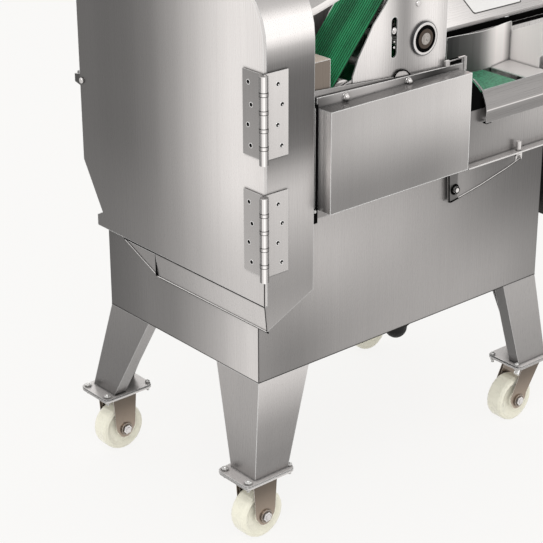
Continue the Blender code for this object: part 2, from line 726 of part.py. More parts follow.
def make_hood():
    """The knife hood: one wrapped sheet, its right wall, the skirt below the door and the gusset."""
    path = [(HOOD_FRONT, STRIP_BOTTOM_LEFT), *hood_curve(), (HOOD_REAR, HOOD_REAR_STEP),
            (BASE_DEPTH + 0.005, DOOR_BOTTOM + 0.026)]
    outline = sheet_outline(path[::-1], HOOD_SHEET)
    hood = plate("hood_shell", outline, HOOD_LENGTH, "YZ", (HOOD_LEFT + HOOD_RIGHT) / 2)
    wall = [(HOOD_FRONT + HOOD_SHEET / 2, BASE_TOP + SEAT_GAP)]
    wall += offset_path(hood_curve(), -HOOD_SHEET / 2)
    wall += [(HOOD_REAR - HOOD_SHEET / 2, HOOD_REAR_STEP), (HOOD_REAR - 0.006, BASE_TOP + SEAT_GAP)]
    throat = rectangle(FEED_FRONT - 0.002, FEED_TOP, FEED_REAR - 0.002, MOUTH_ROOF)
    bore = circle((KNIFE_AXIS_Y, KNIFE_AXIS_Z), KNIFE_SHAFT_RADIUS + 0.006, 24)
    fuse(hood, plate("hood_wall", wall, HOOD_SHEET, "YZ", HOOD_RIGHT - HOOD_SHEET / 2,
                     holes=(throat, bore)), solver="MANIFOLD")
    slant = [(HOOD_LEFT - CUT_PAST, STRIP_BOTTOM_LEFT - 0.05), (HOOD_RIGHT + CUT_PAST, STRIP_BOTTOM_LEFT - 0.05),
             (HOOD_RIGHT, STRIP_BOTTOM_RIGHT), (HOOD_LEFT - CUT_PAST, STRIP_BOTTOM_LEFT - 0.0045)]
    slant[2] = (HOOD_RIGHT + CUT_PAST, STRIP_BOTTOM_RIGHT + 0.0045)
    cut(hood, plate("strip_slant", slant, 0.02, "XZ", HOOD_FRONT), solver="MANIFOLD")
    add_skirt(hood)
    add_knife_bearing(hood)
    lug_y = HOOD_REAR - HOOD_SHEET / 2
    fuse(hood, box("hood_lug", (HOOD_LEFT, lug_y, DOOR_TAB_BOTTOM),
                   (HOOD_LEFT + 0.003, HOOD_REAR + DOOR_TAB_LENGTH, DOOR_TAB_BOTTOM + DOOR_TAB_HEIGHT)),
         solver="MANIFOLD")


def add_knife_bearing(hood):
    """The flanged bearing housing of the knife shaft on the hood's right wall."""
    half = KNIFE_BEARING_LENGTH / 2
    profile = [(KNIFE_BEARING_RADIUS * 0.6, half), (KNIFE_BEARING_RADIUS * 0.66, 0),
               (KNIFE_BEARING_RADIUS, -half * 0.4), (KNIFE_BEARING_RADIUS, -half - HOOD_SHEET / 2),
               (KNIFE_SHAFT_RADIUS + RUNNING_GAP, -half - HOOD_SHEET / 2),
               (KNIFE_SHAFT_RADIUS + RUNNING_GAP, half)]
    fuse(hood, turned("knife_bearing", profile, "X", (HOOD_RIGHT + half, KNIFE_AXIS_Y, KNIFE_AXIS_Z),
                      DARK_STEEL, 24, hollow=True), solver="MANIFOLD")


def add_skirt(hood):
    """The band under the door leans inwards going down; a slot parts it from the gusset behind it."""
    top, bottom = DOOR_BOTTOM - 0.0005, STRIP_BOTTOM_LEFT
    end = HOOD_FRONT + SKIRT_LENGTH
    section = sheet_outline([(-0.0005, bottom), (-0.0037, bottom), (DOOR_FACE + 0.0003, top)][::-1],
                            SKIRT_SHEET)
    band = plate("skirt_band", section, SKIRT_LENGTH, "XZ", (HOOD_FRONT + end) / 2)
    front = [(DOOR_FACE + 0.0003, top), (-0.0037, bottom), (0.006, bottom + 0.0045), (0.006, top)]
    corner = plate("skirt_front", front, HOOD_SHEET, "XZ", HOOD_FRONT + HOOD_SHEET / 2)
    start = end + SKIRT_SLOT
    triangle = [(start, top - 0.004), (start, bottom + 0.003), (GUSSET_END, top - 0.004)]
    gusset = plate("skirt_gusset", triangle, 0.0020, "YZ", -0.0040)
    backing = box("skirt_backing", (-0.0046, end - 0.03, bottom + 0.012),
                  (-0.0005, start + 0.02, bottom + 0.022))
    fuse(hood, band, corner, gusset, backing, solver="MANIFOLD")


def door_outline(inset=0.0):
    """The door seen from the left, with its tab at the rear and its clipped rear corner."""
    front, rear = HOOD_FRONT + inset, HOOD_REAR - inset
    radius = HOOD_CORNER_RADIUS - inset
    top, bottom = HOOD_TOP - inset, DOOR_BOTTOM + inset
    curve = arc((front + radius, top - radius), radius, 180, 90, 8)
    curve += arc((rear - radius, top - radius), radius, 90, 0, 8)
    if inset:
        return [(front, bottom), *curve, (rear, HOOD_REAR_STEP + inset / 2), (BASE_DEPTH - inset, bottom)]
    tab_end = rear + DOOR_TAB_LENGTH
    tab_top = DOOR_TAB_BOTTOM + DOOR_TAB_HEIGHT
    tab = [(rear, tab_top), (tab_end, tab_top - 0.003), (tab_end, DOOR_TAB_BOTTOM + 0.003),
           (rear, DOOR_TAB_BOTTOM)]
    foot = [(rear, HOOD_REAR_STEP), (0.368, 0.4385), (0.382, 0.431), (0.382, bottom)]
    return [(front, bottom), *curve, *tab, *foot]


def make_door():
    middle = DOOR_FACE + DOOR_SHEET / 2
    screw_y = HOOD_REAR - DOOR_SCREW_INSET
    screw_z = DOOR_TAB_BOTTOM + DOOR_TAB_HEIGHT / 2
    hole = circle((screw_y, screw_z), DOOR_SCREW_SHANK + RUNNING_GAP, 20)
    door = plate("knife_door", door_outline(), DOOR_SHEET, "YZ", middle, holes=(hole,))
    move_origin(door, (HINGE_AXIS_X, HINGE_AXIS_Y, 0))
    cut(door, plate("door_pan", door_outline(DOOR_RIM), DOOR_SHEET, "YZ", middle + DOOR_SKIN))
    head, rim, shank = -0.0035, DOOR_SCREW_HEAD, DOOR_SCREW_SHANK
    turned("door_screw", [
        (0, DOOR_SHEET - 0.0005), (shank, DOOR_SHEET - 0.0005), (shank, -SEAT_GAP), (rim, -SEAT_GAP),
        (rim, head + 0.001), (rim * 0.85, head), (0, head),
    ], "X", (DOOR_FACE, screw_y, screw_z), BRIGHT, 20)


def knuckle_ranges(bottom):
    pitch = HINGE_HEIGHT / HINGE_KNUCKLES
    return [(bottom + i * pitch + RUNNING_GAP / 2, bottom + (i + 1) * pitch - RUNNING_GAP / 2)
            for i in range(HINGE_KNUCKLES)]


def make_hinge(level, bottom):
    """A five-knuckle butt hinge: the hood leaf holds the pin and three knuckles, the door leaf two."""
    top = bottom + HINGE_HEIGHT
    leaf_bottom = bottom + HINGE_LEAF_RISE
    x, y = HINGE_AXIS_X, HINGE_AXIS_Y
    clear = HINGE_BARREL_RADIUS + 2 * RUNNING_GAP
    hood_y = HOOD_FRONT - SEAT_GAP - HINGE_LEAF / 2
    door_x = DOOR_FACE - SEAT_GAP - HINGE_LEAF / 2
    hood_leaf = box(f"hinge_hood_leaf_{level}", (x + clear, hood_y - HINGE_LEAF / 2, leaf_bottom),
                    (HINGE_HOOD_LEAF_END, hood_y + HINGE_LEAF / 2, top))
    door_leaf = box(f"hinge_door_leaf_{level}", (door_x - HINGE_LEAF / 2, y + clear, leaf_bottom),
                    (door_x + HINGE_LEAF / 2, HINGE_DOOR_LEAF_END, top))
    fuse(hood_leaf, cylinder(f"pin_{level}", HINGE_PIN_RADIUS, bottom + OVERLAP, top - OVERLAP, "Z", (x, y),
                             segments=12), solver="MANIFOLD")
    finger_half = HINGE_LEAF / 2 - 0.0001
    for i, (low, high) in enumerate(knuckle_ranges(bottom)):
        half = (high - low) / 2
        middle = (high + low) / 2
        if i % 2 == 0:
            finger = box(f"hood_finger_{level}_{i}", (x, hood_y - finger_half, low + RUNNING_GAP),
                         (x + clear + OVERLAP, hood_y + finger_half, high - RUNNING_GAP))
            knuckle = cylinder(f"hood_knuckle_{level}_{i}", HINGE_BARREL_RADIUS, low, high, "Z", (x, y),
                               segments=16)
            fuse(hood_leaf, finger, knuckle, solver="MANIFOLD")
        else:
            finger = box(f"door_finger_{level}_{i}", (door_x - finger_half, y + HINGE_PIN_RADIUS * 1.5,
                                                            low + RUNNING_GAP),
                         (door_x + finger_half, y + clear + OVERLAP, high - RUNNING_GAP))
            profile = ring_profile(HINGE_BARREL_RADIUS, HINGE_PIN_RADIUS + RUNNING_GAP, half)
            knuckle = turned(f"door_knuckle_{level}_{i}", profile, "Z", (x, y, middle), segments=16, hollow=True)
            fuse(door_leaf, finger, knuckle, solver="MANIFOLD")
    move_origin(door_leaf, (x, y, bottom))


# Knife and its drive

def make_knife():
    axis = (KNIFE_AXIS_Y, KNIFE_AXIS_Z)
    y, z = axis
    shaft_end = PULLEY_X + PULLEY_WIDTH / 2 + 0.004
    hub_start = KNIFE_DISC_X - KNIFE_HUB_LENGTH / 2
    shaft = cylinder("knife_shaft", KNIFE_SHAFT_RADIUS, hub_start, shaft_end, "X", axis, BRIGHT, 24)
    fuse(shaft, make_pulley("knife_pulley", KNIFE_PULLEY_RADIUS, z))
    bore = KNIFE_SHAFT_RADIUS + SEAT_GAP
    windows = []
    for turn in (0, 180):
        outer = arc(axis, KNIFE_RADIUS - 0.022, turn + 15, turn + 80, 7)
        inner = arc(axis, KNIFE_HUB_RADIUS + 0.022, turn + 80, turn + 15, 4)
        windows.append(outer + inner)
    disc = plate("knife_disc", circle(axis, KNIFE_RADIUS, 40), KNIFE_DISC_SHEET, "YZ", KNIFE_DISC_X,
                 BRIGHT, holes=(circle(axis, bore, 20), *windows))
    move_origin(disc, (KNIFE_DISC_X, y, z))
    hub = ring_profile(KNIFE_HUB_RADIUS, bore, KNIFE_HUB_LENGTH / 2)
    fuse(disc, turned("knife_hub", hub, "X", (KNIFE_DISC_X - KNIFE_HUB_LENGTH / 4, y, z), segments=24,
                      hollow=True))
    blade_x = KNIFE_DISC_X + KNIFE_DISC_SHEET / 2 + SEAT_GAP + KNIFE_BLADE_SHEET / 2
    for name, turn in (("a", 0), ("b", 180)):
        make_blade(f"knife_blade_{name}", turn, blade_x)


def make_blade(name, turn, x):
    """A sickle blade over a window of the disc: its cutting edge bows outwards from hub to rim."""
    axis = Vector((KNIFE_AXIS_Y, KNIFE_AXIS_Z))
    rows = []
    steps = 12
    for i in range(steps + 1):
        share = i / steps
        radius = KNIFE_HUB_RADIUS + 0.006 + (KNIFE_RADIUS - KNIFE_HUB_RADIUS - 0.010) * share
        edge = math.radians(turn + 70 - 52 * share * share)
        width = math.radians(13 + 16 * math.sin(math.pi * share)) * KNIFE_HUB_RADIUS / radius * 2
        rows.append((radius, edge, edge + width))
    front = [tuple(axis + Vector((math.cos(a), math.sin(a))) * r) for r, a, _ in rows]
    back = [tuple(axis + Vector((math.cos(b), math.sin(b))) * r) for r, _, b in rows]
    blade = plate(name, front + back[::-1], KNIFE_BLADE_SHEET, "YZ", x, BRIGHT)
    move_origin(blade, (x, KNIFE_AXIS_Y, KNIFE_AXIS_Z))


def make_pulley(name, radius, z):
    """A flat-grooved belt pulley that is keyed to a shaft along X."""
    half, groove = PULLEY_WIDTH / 2, PULLEY_GROOVE / 2
    rim = radius + PULLEY_FLANGE
    profile = [(0, half), (rim, half), (rim, groove), (radius, groove), (radius, -groove),
               (rim, -groove), (rim, -half), (0, -half)]
    return turned(name, profile, "X", (PULLEY_X, KNIFE_AXIS_Y, z), DARK_STEEL, 28)


def make_knife_motor():
    floor = BASE_BOTTOM + BASE_SHEET + SEAT_GAP
    z = floor + MOTOR_SHAFT_HEIGHT
    start, end = MOTOR_START_X, MOTOR_START_X + MOTOR_LENGTH
    motor = cylinder("knife_motor", MOTOR_RADIUS, start, end, "X", (KNIFE_AXIS_Y, z), PAINTED_MOTOR, 28)
    foot_y = MOTOR_RADIUS * 0.85
    fuse(motor, box("motor_feet", (start + 0.02, KNIFE_AXIS_Y - foot_y, floor),
                    (end - 0.06, KNIFE_AXIS_Y + foot_y, z - MOTOR_RADIUS * 0.7)))
    shaft_start = PULLEY_X - PULLEY_WIDTH / 2
    fuse(motor, box("terminal_box", (start + 0.05, KNIFE_AXIS_Y - 0.035, z + MOTOR_RADIUS * 0.8),
                    (start + 0.14, KNIFE_AXIS_Y + 0.035, z + MOTOR_RADIUS + 0.03)))
    pulley = make_pulley("motor_pulley", MOTOR_PULLEY_RADIUS, z)
    fuse(pulley, cylinder("motor_shaft", MOTOR_SHAFT_RADIUS, shaft_start - 0.003, start - RUNNING_GAP, "X",
                          (KNIFE_AXIS_Y, z), BRIGHT, 24))
    belt("knife_belt", [((KNIFE_AXIS_Y, z), MOTOR_PULLEY_RADIUS),
                        ((KNIFE_AXIS_Y, KNIFE_AXIS_Z), KNIFE_PULLEY_RADIUS)],
         KNIFE_BELT_THICKNESS, KNIFE_BELT_WIDTH, "YZ", PULLEY_X, BLACK_RUBBER, 20)


# Feed conveyor

def make_mouth():
    left, right = HOOD_RIGHT + SEAT_GAP, HOOD_RIGHT + SEAT_GAP + MOUTH_LENGTH
    front, rear = THROAT_PLATE_Y + FRAME_SHEET / 2 + SEAT_GAP, REAR_PLATE_Y - FRAME_SHEET / 2 - SEAT_GAP
    mouth = box("feed_mouth", (left, front, MOUTH_BOTTOM), (right, rear, MOUTH_TOP))
    cut(mouth, box("mouth_opening", (left - CUT_PAST, front + MOUTH_WALL, FEED_TOP),
                   (right + CUT_PAST, rear - MOUTH_WALL, MOUTH_ROOF)))


def roller(name, radius, x, z, front, rear, core, core_front, core_rear, finish=BRIGHT):
    """A roller along Y on its shaft."""
    profile = [(0, core_rear), (core, core_rear), (core, rear), (radius, rear), (radius, front), (core, front),
               (core, core_front), (0, core_front)]
    return turned(name, profile, "Y", (x, 0, z), finish, 24)


def make_feed_rollers():
    front, rear = FEED_FRONT + 0.001, FEED_REAR - 0.001
    drive = roller("feed_drive_roller", FEED_ROLLER_RADIUS, FEED_DRIVE_X, FEED_AXIS_Z, front, rear,
                   FEED_SHAFT_RADIUS, CHAIN_Y - CHAIN_WIDTH / 2 - 0.004, REAR_PLATE_Y + 0.006)
    fuse(drive, sprocket("feed_sprocket", FEED_SPROCKET_RADIUS, FEED_DRIVE_X, FEED_AXIS_Z, 16))
    roller("feed_tail_roller", FEED_ROLLER_RADIUS, FEED_TAIL_X, FEED_AXIS_Z, front, rear,
           FEED_SHAFT_RADIUS, PANEL_Y - 0.004, REAR_PLATE_Y + 0.006)
    belt("feed_belt", [((FEED_TAIL_X, FEED_AXIS_Z), FEED_ROLLER_RADIUS),
                       ((FEED_DRIVE_X, FEED_AXIS_Z), FEED_ROLLER_RADIUS)][::-1],
         FEED_BELT - SEAT_GAP, FEED_REAR - FEED_FRONT, "XZ", (FEED_FRONT + FEED_REAR) / 2, FEED_GREEN)


def sprocket(name, radius, x, z, teeth):
    """A chain wheel whose teeth stay inside the chain's inner line."""
    points = []
    for i in range(teeth):
        for share, depth in ((0.0, 0.0035), (0.30, 0.0035), (0.45, 0.0), (0.80, 0.0)):
            angle = 2 * math.pi * (i + share) / teeth
            points.append((x + (radius - depth) * math.cos(angle), z + (radius - depth) * math.sin(angle)))
    return plate(name, points, CHAIN_WIDTH * 0.7, "XZ", CHAIN_Y, DARK_STEEL)


def make_feed_frame():
    """The conveyor's welded frame: throat plate, rear plate, front panel, flange and two cross bars."""
    shaft = FEED_SHAFT_RADIUS + RUNNING_GAP
    left = HOOD_RIGHT + SEAT_GAP
    bottom = BASE_TOP + SEAT_GAP
    throat = [(left, 0.516), (0.400, 0.516), (0.400, 0.640), (0.365, 0.688), (left, 0.709)]
    frame = plate("feed_frame", throat, FRAME_SHEET, "XZ", THROAT_PLATE_Y, holes=(
        circle((FEED_DRIVE_X, FEED_AXIS_Z), shaft, 24),
        circle((PINION_X, PINION_Z), PINION_SHAFT_RADIUS + RUNNING_GAP, 24)))
    back = [(left, bottom), (PLATE_END + END_WALL_SHEET, bottom), (PLATE_END + END_WALL_SHEET, 0.560),
            (RIGHT_END, 0.560), (RIGHT_END, 0.694), (0.440, 0.694), (0.440, 0.664), (left, 0.664)]
    rear = plate("frame_rear", back, FRAME_SHEET, "XZ", REAR_PLATE_Y, holes=(
        circle((FEED_DRIVE_X, FEED_AXIS_Z), shaft, 24),
        circle((FEED_TAIL_X, FEED_AXIS_Z), shaft, 24)))
    panel = plate("frame_panel", rectangle(0.396, FLANGE_Z - 0.001, RIGHT_END, 0.625), PANEL_SHEET, "XZ",
                  PANEL_Y, holes=(circle((FEED_TAIL_X, FEED_AXIS_Z), shaft, 24),))
    lap = box("frame_lap", (0.396, THROAT_PLATE_Y - FRAME_SHEET / 2, FLANGE_Z - 0.001), (0.400, PANEL_Y, 0.620))
    flange_outline = rectangle(0.402, -0.0235, RIGHT_END, PANEL_Y)
    bolt_hole = circle((WING_BOLT_X, WING_BOLT_Y), WING_BOLT_RADIUS + RUNNING_GAP, 16)
    flange = plate("frame_flange", flange_outline, 0.002, "XY", FLANGE_Z, holes=(bolt_hole,))
    fuse(frame, rear, panel, lap, flange)
    for i, x in enumerate((0.215, 0.455)):
        fuse(frame, box(f"frame_bar_{i}", (x - 0.006, THROAT_PLATE_Y if x < 0.4 else PANEL_Y, 0.562),
                        (x + 0.006, REAR_PLATE_Y, 0.574)))


def make_hopper():
    """The loading plate with its end wall, the curved back guide and the rolled front cover."""
    belt_end = FEED_TAIL_X + FEED_ROLLER_RADIUS + FEED_BELT + 0.001
    rear = REAR_PLATE_Y - FRAME_SHEET / 2 - SEAT_GAP
    loading = box("loading_plate", (belt_end, FEED_FRONT, FEED_TOP - END_WALL_SHEET), (PLATE_END + OVERLAP, rear, FEED_TOP))
    wall = [(0.0135, FEED_TOP - END_WALL_SHEET), (rear, FEED_TOP - END_WALL_SHEET), (rear, 0.680),
            (0.006, 0.7115), (0.006, 0.6560), (0.0135, 0.6510)]
    fuse(loading, plate("end_wall", wall, END_WALL_SHEET, "YZ", PLATE_END + END_WALL_SHEET / 2))
    lip = box("loading_lip", (belt_end + 0.010, FEED_REAR - 0.012, END_HOUSING_TOP - 0.020),
              (PLATE_END - 0.002, rear, FEED_TOP - END_WALL_SHEET / 2))
    fuse(loading, lip)
    span = PLATE_END + OVERLAP - GUIDE_START
    path = [(GUIDE_START + span * i / 12, rear - SEAT_GAP - GUIDE_SHEET - 0.010 * math.sin(math.pi * i / 12) ** 2)
            for i in range(13)]
    guide = plate("back_guide", sheet_outline(path, GUIDE_SHEET), GUIDE_HEIGHT, "XY",
                  FEED_TOP + SEAT_GAP + GUIDE_HEIGHT / 2)
    fuse(loading, guide)
    section = [(0.0120, 0.6476), (0.0025, 0.6420), (-0.0050, 0.6368), (-0.0095, 0.6330), (-0.0154, 0.6210),
               (-0.0188, 0.6120), (-0.0200, 0.6050), (-0.0200, 0.5845)]
    cover = plate("feed_front_cover", sheet_outline(section, COVER_SHEET), RIGHT_END - COVER_START, "YZ",
                  (RIGHT_END + COVER_START) / 2)
    cut(cover, box("cover_opening", (COVER_START + COVER_RIM, PANEL_Y, END_HOUSING_TOP + 0.020),
                   (RIGHT_END + CUT_PAST, 0.030, 0.660)))
    rib = [(-0.0195, 0.5900), (PANEL_Y - PANEL_SHEET / 2 - SEAT_GAP, 0.5900), (PANEL_Y - PANEL_SHEET / 2 - SEAT_GAP, 0.6060),
           (-0.0195, 0.6050)]
    for i, x in enumerate((COVER_START + 0.020, PLATE_END + 0.020)):
        fuse(cover, plate(f"cover_rib_{i}", rib, 0.002, "YZ", x))


def make_end_housing():
    front = PANEL_Y + PANEL_SHEET / 2 + SEAT_GAP
    rear = REAR_PLATE_Y - FRAME_SHEET / 2 - SEAT_GAP
    wall = CABINET_SHEET
    housing = box("end_housing", (END_HOUSING_START, front, END_HOUSING_BOTTOM),
                  (RIGHT_END, rear, END_HOUSING_TOP))
    cut(housing, box("end_housing_inside", (END_HOUSING_START + wall, front + wall, END_HOUSING_BOTTOM + wall),
                     (RIGHT_END - wall, rear - wall, END_HOUSING_TOP + CUT_PAST)))


# Feed drive

def make_feed_drive():
    rail = [(RAIL_LEFT, RAIL_BOTTOM), (RAIL_RIGHT, RAIL_BOTTOM), (RAIL_RIGHT, RAIL_TOP_RIGHT),
            (RAIL_LEFT, RAIL_TOP_LEFT)]
    holes = (circle((FEED_DRIVE_X, FEED_AXIS_Z), FEED_SHAFT_RADIUS + RUNNING_GAP, 24),
             circle((PINION_X, PINION_Z), PINION_SHAFT_RADIUS + RUNNING_GAP, 24))
    rail_plate = plate("rail_plate", rail, FRAME_SHEET, "XZ", RAIL_Y, holes=holes)
    back = THROAT_PLATE_Y - FRAME_SHEET / 2 - SEAT_GAP
    block = box("rail_block", (0.346, RAIL_Y, 0.676), (RAIL_RIGHT + 0.002, back, 0.6855))
    spacer = box("rail_spacer", (RAIL_LEFT + 0.004, RAIL_Y, RAIL_BOTTOM + 0.004), (RAIL_LEFT + 0.020, back, 0.560))
    fuse(rail_plate, block, spacer)
    guard_back = RAIL_Y - FRAME_SHEET / 2 - SEAT_GAP
    guard = box("drive_guard", (GUARD_LEFT, GUARD_FRONT, GUARD_BOTTOM), (GUARD_RIGHT, guard_back, GUARD_TOP))
    wall = GUARD_SHEET
    cut(guard, box("guard_inside", (GUARD_LEFT + wall, GUARD_FRONT + wall, GUARD_BOTTOM + wall),
                   (GUARD_RIGHT - wall, guard_back + CUT_PAST, GUARD_TOP - wall)))
    motor_front = THROAT_PLATE_Y + FRAME_SHEET / 2 + SEAT_GAP
    motor_rear = REAR_PLATE_Y - FRAME_SHEET / 2 - SEAT_GAP
    gearmotor = cylinder("feed_gearmotor", GEARMOTOR_RADIUS, motor_front, motor_rear, "Y",
                         (PINION_X, PINION_Z), PAINTED_MOTOR, 24)
    fuse(gearmotor, box("gearmotor_foot", (PINION_X - 0.022, motor_front + 0.01, BASE_TOP + SEAT_GAP),
                        (PINION_X + 0.022, motor_rear - 0.02, PINION_Z - 0.015)))
    pinion = cylinder("feed_pinion", PINION_SHAFT_RADIUS, CHAIN_Y - CHAIN_WIDTH / 2 - 0.003,
                      motor_front - 2 * RUNNING_GAP, "Y", (PINION_X, PINION_Z), DARK_STEEL, 24)
    fuse(pinion, sprocket("pinion_teeth", PINION_RADIUS, PINION_X, PINION_Z, 8))
    belt("feed_chain", [((FEED_DRIVE_X, FEED_AXIS_Z), FEED_SPROCKET_RADIUS), ((PINION_X, PINION_Z), PINION_RADIUS)],
         CHAIN_THICKNESS, CHAIN_WIDTH, "XZ", CHAIN_Y, DARK_STEEL)


# Press conveyor

def press_outline():
    """The side plate of the press head: a leaning left edge, a rounded top and a straight right edge."""
    crown = arc((0.272, PRESS_PLATE_TOP - 0.030), 0.030, 150, 90, 4)
    shoulder = arc((PRESS_PLATE_RIGHT - 0.020, PRESS_PLATE_TOP - 0.020), 0.020, 90, 0, 4)
    left = [(0.168, PRESS_PLATE_BOTTOM), (0.168, 0.712), (0.179, 0.738), (0.2065, 0.780)]
    return [*left, *crown, *shoulder, (PRESS_PLATE_RIGHT - 0.002, PRESS_PLATE_BOTTOM)]


def make_press_head():
    hub = (HUB_X, HUB_Z)
    slot = [*arc((0.2475, 0.7785), 0.0062, 0, 180, 6), *arc((0.2475, 0.7305), 0.0062, 180, 360, 6)]
    arm = plate("press_arm", press_outline(), PRESS_SHEET, "XZ", PRESS_PLATE_FRONT_Y,
                holes=(circle(hub, BEARING_RADIUS - 0.006, 32), slot))
    move_origin(arm, (HUB_X, 0, HUB_Z))
    rear = plate("press_plate_rear", press_outline(), PRESS_SHEET, "XZ", PRESS_PLATE_REAR_Y,
                 holes=(circle(hub, PRESS_SHAFT_RADIUS + RUNNING_GAP, 24),))
    fuse(arm, rear)
    for i, (x, z) in enumerate(((0.215, 0.715), (0.262, 0.745), (0.335, 0.812))):
        fuse(arm, cylinder(f"press_tie_{i}", 0.006, PRESS_PLATE_FRONT_Y, PRESS_PLATE_REAR_Y, "Y", (x, z),
                           segments=12))
    for i, (x, z) in enumerate(((PRESS_NOSE_X, PRESS_NOSE_Z), (PRESS_TOP_X, PRESS_TOP_Z))):
        make_roller_arm(arm, f"roller_arm_{i}", x, z)
    bearing = [(BEARING_RADIUS, BEARING_DEPTH), (BEARING_RADIUS, 0), (PRESS_SHAFT_RADIUS + RUNNING_GAP, 0),
               (PRESS_SHAFT_RADIUS + RUNNING_GAP, BEARING_DEPTH - 0.002),
               (BEARING_RADIUS - 0.010, BEARING_DEPTH - 0.002), (BEARING_RADIUS - 0.006, BEARING_DEPTH)]
    front = PRESS_PLATE_FRONT_Y - PRESS_SHEET / 2 - SEAT_GAP
    ring = turned("press_bearing", bearing, "Y", (HUB_X, front, HUB_Z), DARK_STEEL, 32, hollow=True)
    ring.rotation_euler = (math.pi / 2, 0, 0)
    inner_front = PRESS_PLATE_FRONT_Y + PRESS_SHEET / 2 + 0.003
    inner_rear = PRESS_PLATE_REAR_Y - PRESS_SHEET / 2 - 0.003
    roller("press_drive_roller", PRESS_DRIVE_RADIUS, HUB_X, HUB_Z, inner_front, inner_rear, PRESS_SHAFT_RADIUS,
           front - BEARING_DEPTH - 0.001, STAND_Y + STAND_SHEET / 2 - 2 * OVERLAP)
    for name, x, z in (("nose", PRESS_NOSE_X, PRESS_NOSE_Z), ("top", PRESS_TOP_X, PRESS_TOP_Z)):
        roller(f"press_{name}_roller", PRESS_ROLLER_RADIUS, x, z, inner_front, inner_rear, PRESS_PIN_RADIUS,
               inner_front - 0.0014, inner_rear + 0.0014)
    wheels = [((PRESS_NOSE_X, PRESS_NOSE_Z), PRESS_ROLLER_RADIUS), (hub, PRESS_DRIVE_RADIUS),
              ((PRESS_TOP_X, PRESS_TOP_Z), PRESS_ROLLER_RADIUS)]
    press = belt("press_belt", wheels, PRESS_BELT, inner_rear - inner_front, "XZ", (inner_front + inner_rear) / 2,
                 PRESS_GREEN)
    move_origin(press, (HUB_X, 0, HUB_Z))


def make_roller_arm(arm, name, x, z):
    """Ears welded inside the side plates that carry a roller's ends."""
    hub = Vector((HUB_X, HUB_Z))
    end = Vector((x, z))
    along = (hub - end).normalized()
    side = Vector((-along.y, along.x)) * 0.011
    reach = end + along * 0.060
    tip = [tuple(end + Vector((math.cos(a), math.sin(a))) * 0.011)
           for a in (math.atan2(side.y, side.x) + math.pi * i / 8 for i in range(9))]
    outline = [*tip, tuple(reach - side), tuple(reach + side)]
    hole = circle((x, z), PRESS_PIN_RADIUS + RUNNING_GAP, 16)
    for end_name, y in (("front", PRESS_PLATE_FRONT_Y + 0.0016), ("rear", PRESS_PLATE_REAR_Y - 0.0016)):
        fuse(arm, plate(f"{name}_{end_name}", outline, 0.0020, "XZ", y, holes=(hole,)))


def make_press_stand():
    """The fixed rear bearing plate of the press shaft, its gearmotor and the bright stay bar."""
    bottom = BASE_TOP + SEAT_GAP
    outline = [(HUB_X - 0.030, bottom), (HUB_X + 0.030, bottom), (HUB_X + 0.020, HUB_Z + 0.070),
               (HUB_X - 0.020, HUB_Z + 0.070)]
    stand = plate("press_stand", outline, STAND_SHEET, "XZ", STAND_Y,
                  holes=(circle((HUB_X, HUB_Z), PRESS_SHAFT_RADIUS + RUNNING_GAP, 24),))
    start = STAND_Y + STAND_SHEET / 2 - OVERLAP
    fuse(stand, cylinder("press_gearmotor", PRESS_MOTOR_RADIUS, start, start + PRESS_MOTOR_LENGTH, "Y",
                         (HUB_X, HUB_Z), PAINTED_MOTOR, 24))
    top = HUB_Z + 0.070 + SEAT_GAP
    tube("stay_bar", [(HOOD_RIGHT + SEAT_GAP, 0.0, 0.8145), (0.096, 0.0, 0.8145), (0.150, 0.0, 0.8305),
                      (0.225, 0.0, 0.852), (0.290, 0.020, 0.884), (HUB_X, STAND_Y, 0.884),
                      (HUB_X, STAND_Y, 0.850), (HUB_X, STAND_Y, top)], STAY_RADIUS, BRIGHT)


# Rear cabinet and console

def make_cabinet():
    left = HOOD_RIGHT + SEAT_GAP
    bottom = BASE_TOP + SEAT_GAP
    wrap = [(BASE_LENGTH, bottom), (BASE_LENGTH, CABINET_LOW_TOP), (CABINET_STEP_X, CABINET_LOW_TOP),
            (CABINET_STEP_X, CABINET_HIGH_TOP), (left, CABINET_HIGH_TOP)]
    depth = BASE_DEPTH - CABINET_FRONT
    cabinet = plate("rear_cabinet", sheet_outline(wrap, CABINET_SHEET), depth, "XZ",
                    (BASE_DEPTH + CABINET_FRONT) / 2)
    face = [(left, bottom), *wrap]
    hole = circle((HUB_X, HUB_Z), PRESS_MOTOR_RADIUS + 0.002, 32)
    fuse(cabinet, plate("cabinet_front", face, CABINET_SHEET, "XZ", CABINET_FRONT + CABINET_SHEET / 2,
                        holes=(hole,)))
    fuse(cabinet, plate("cabinet_back", face, CABINET_SHEET, "XZ", BASE_DEPTH - CABINET_SHEET / 2))


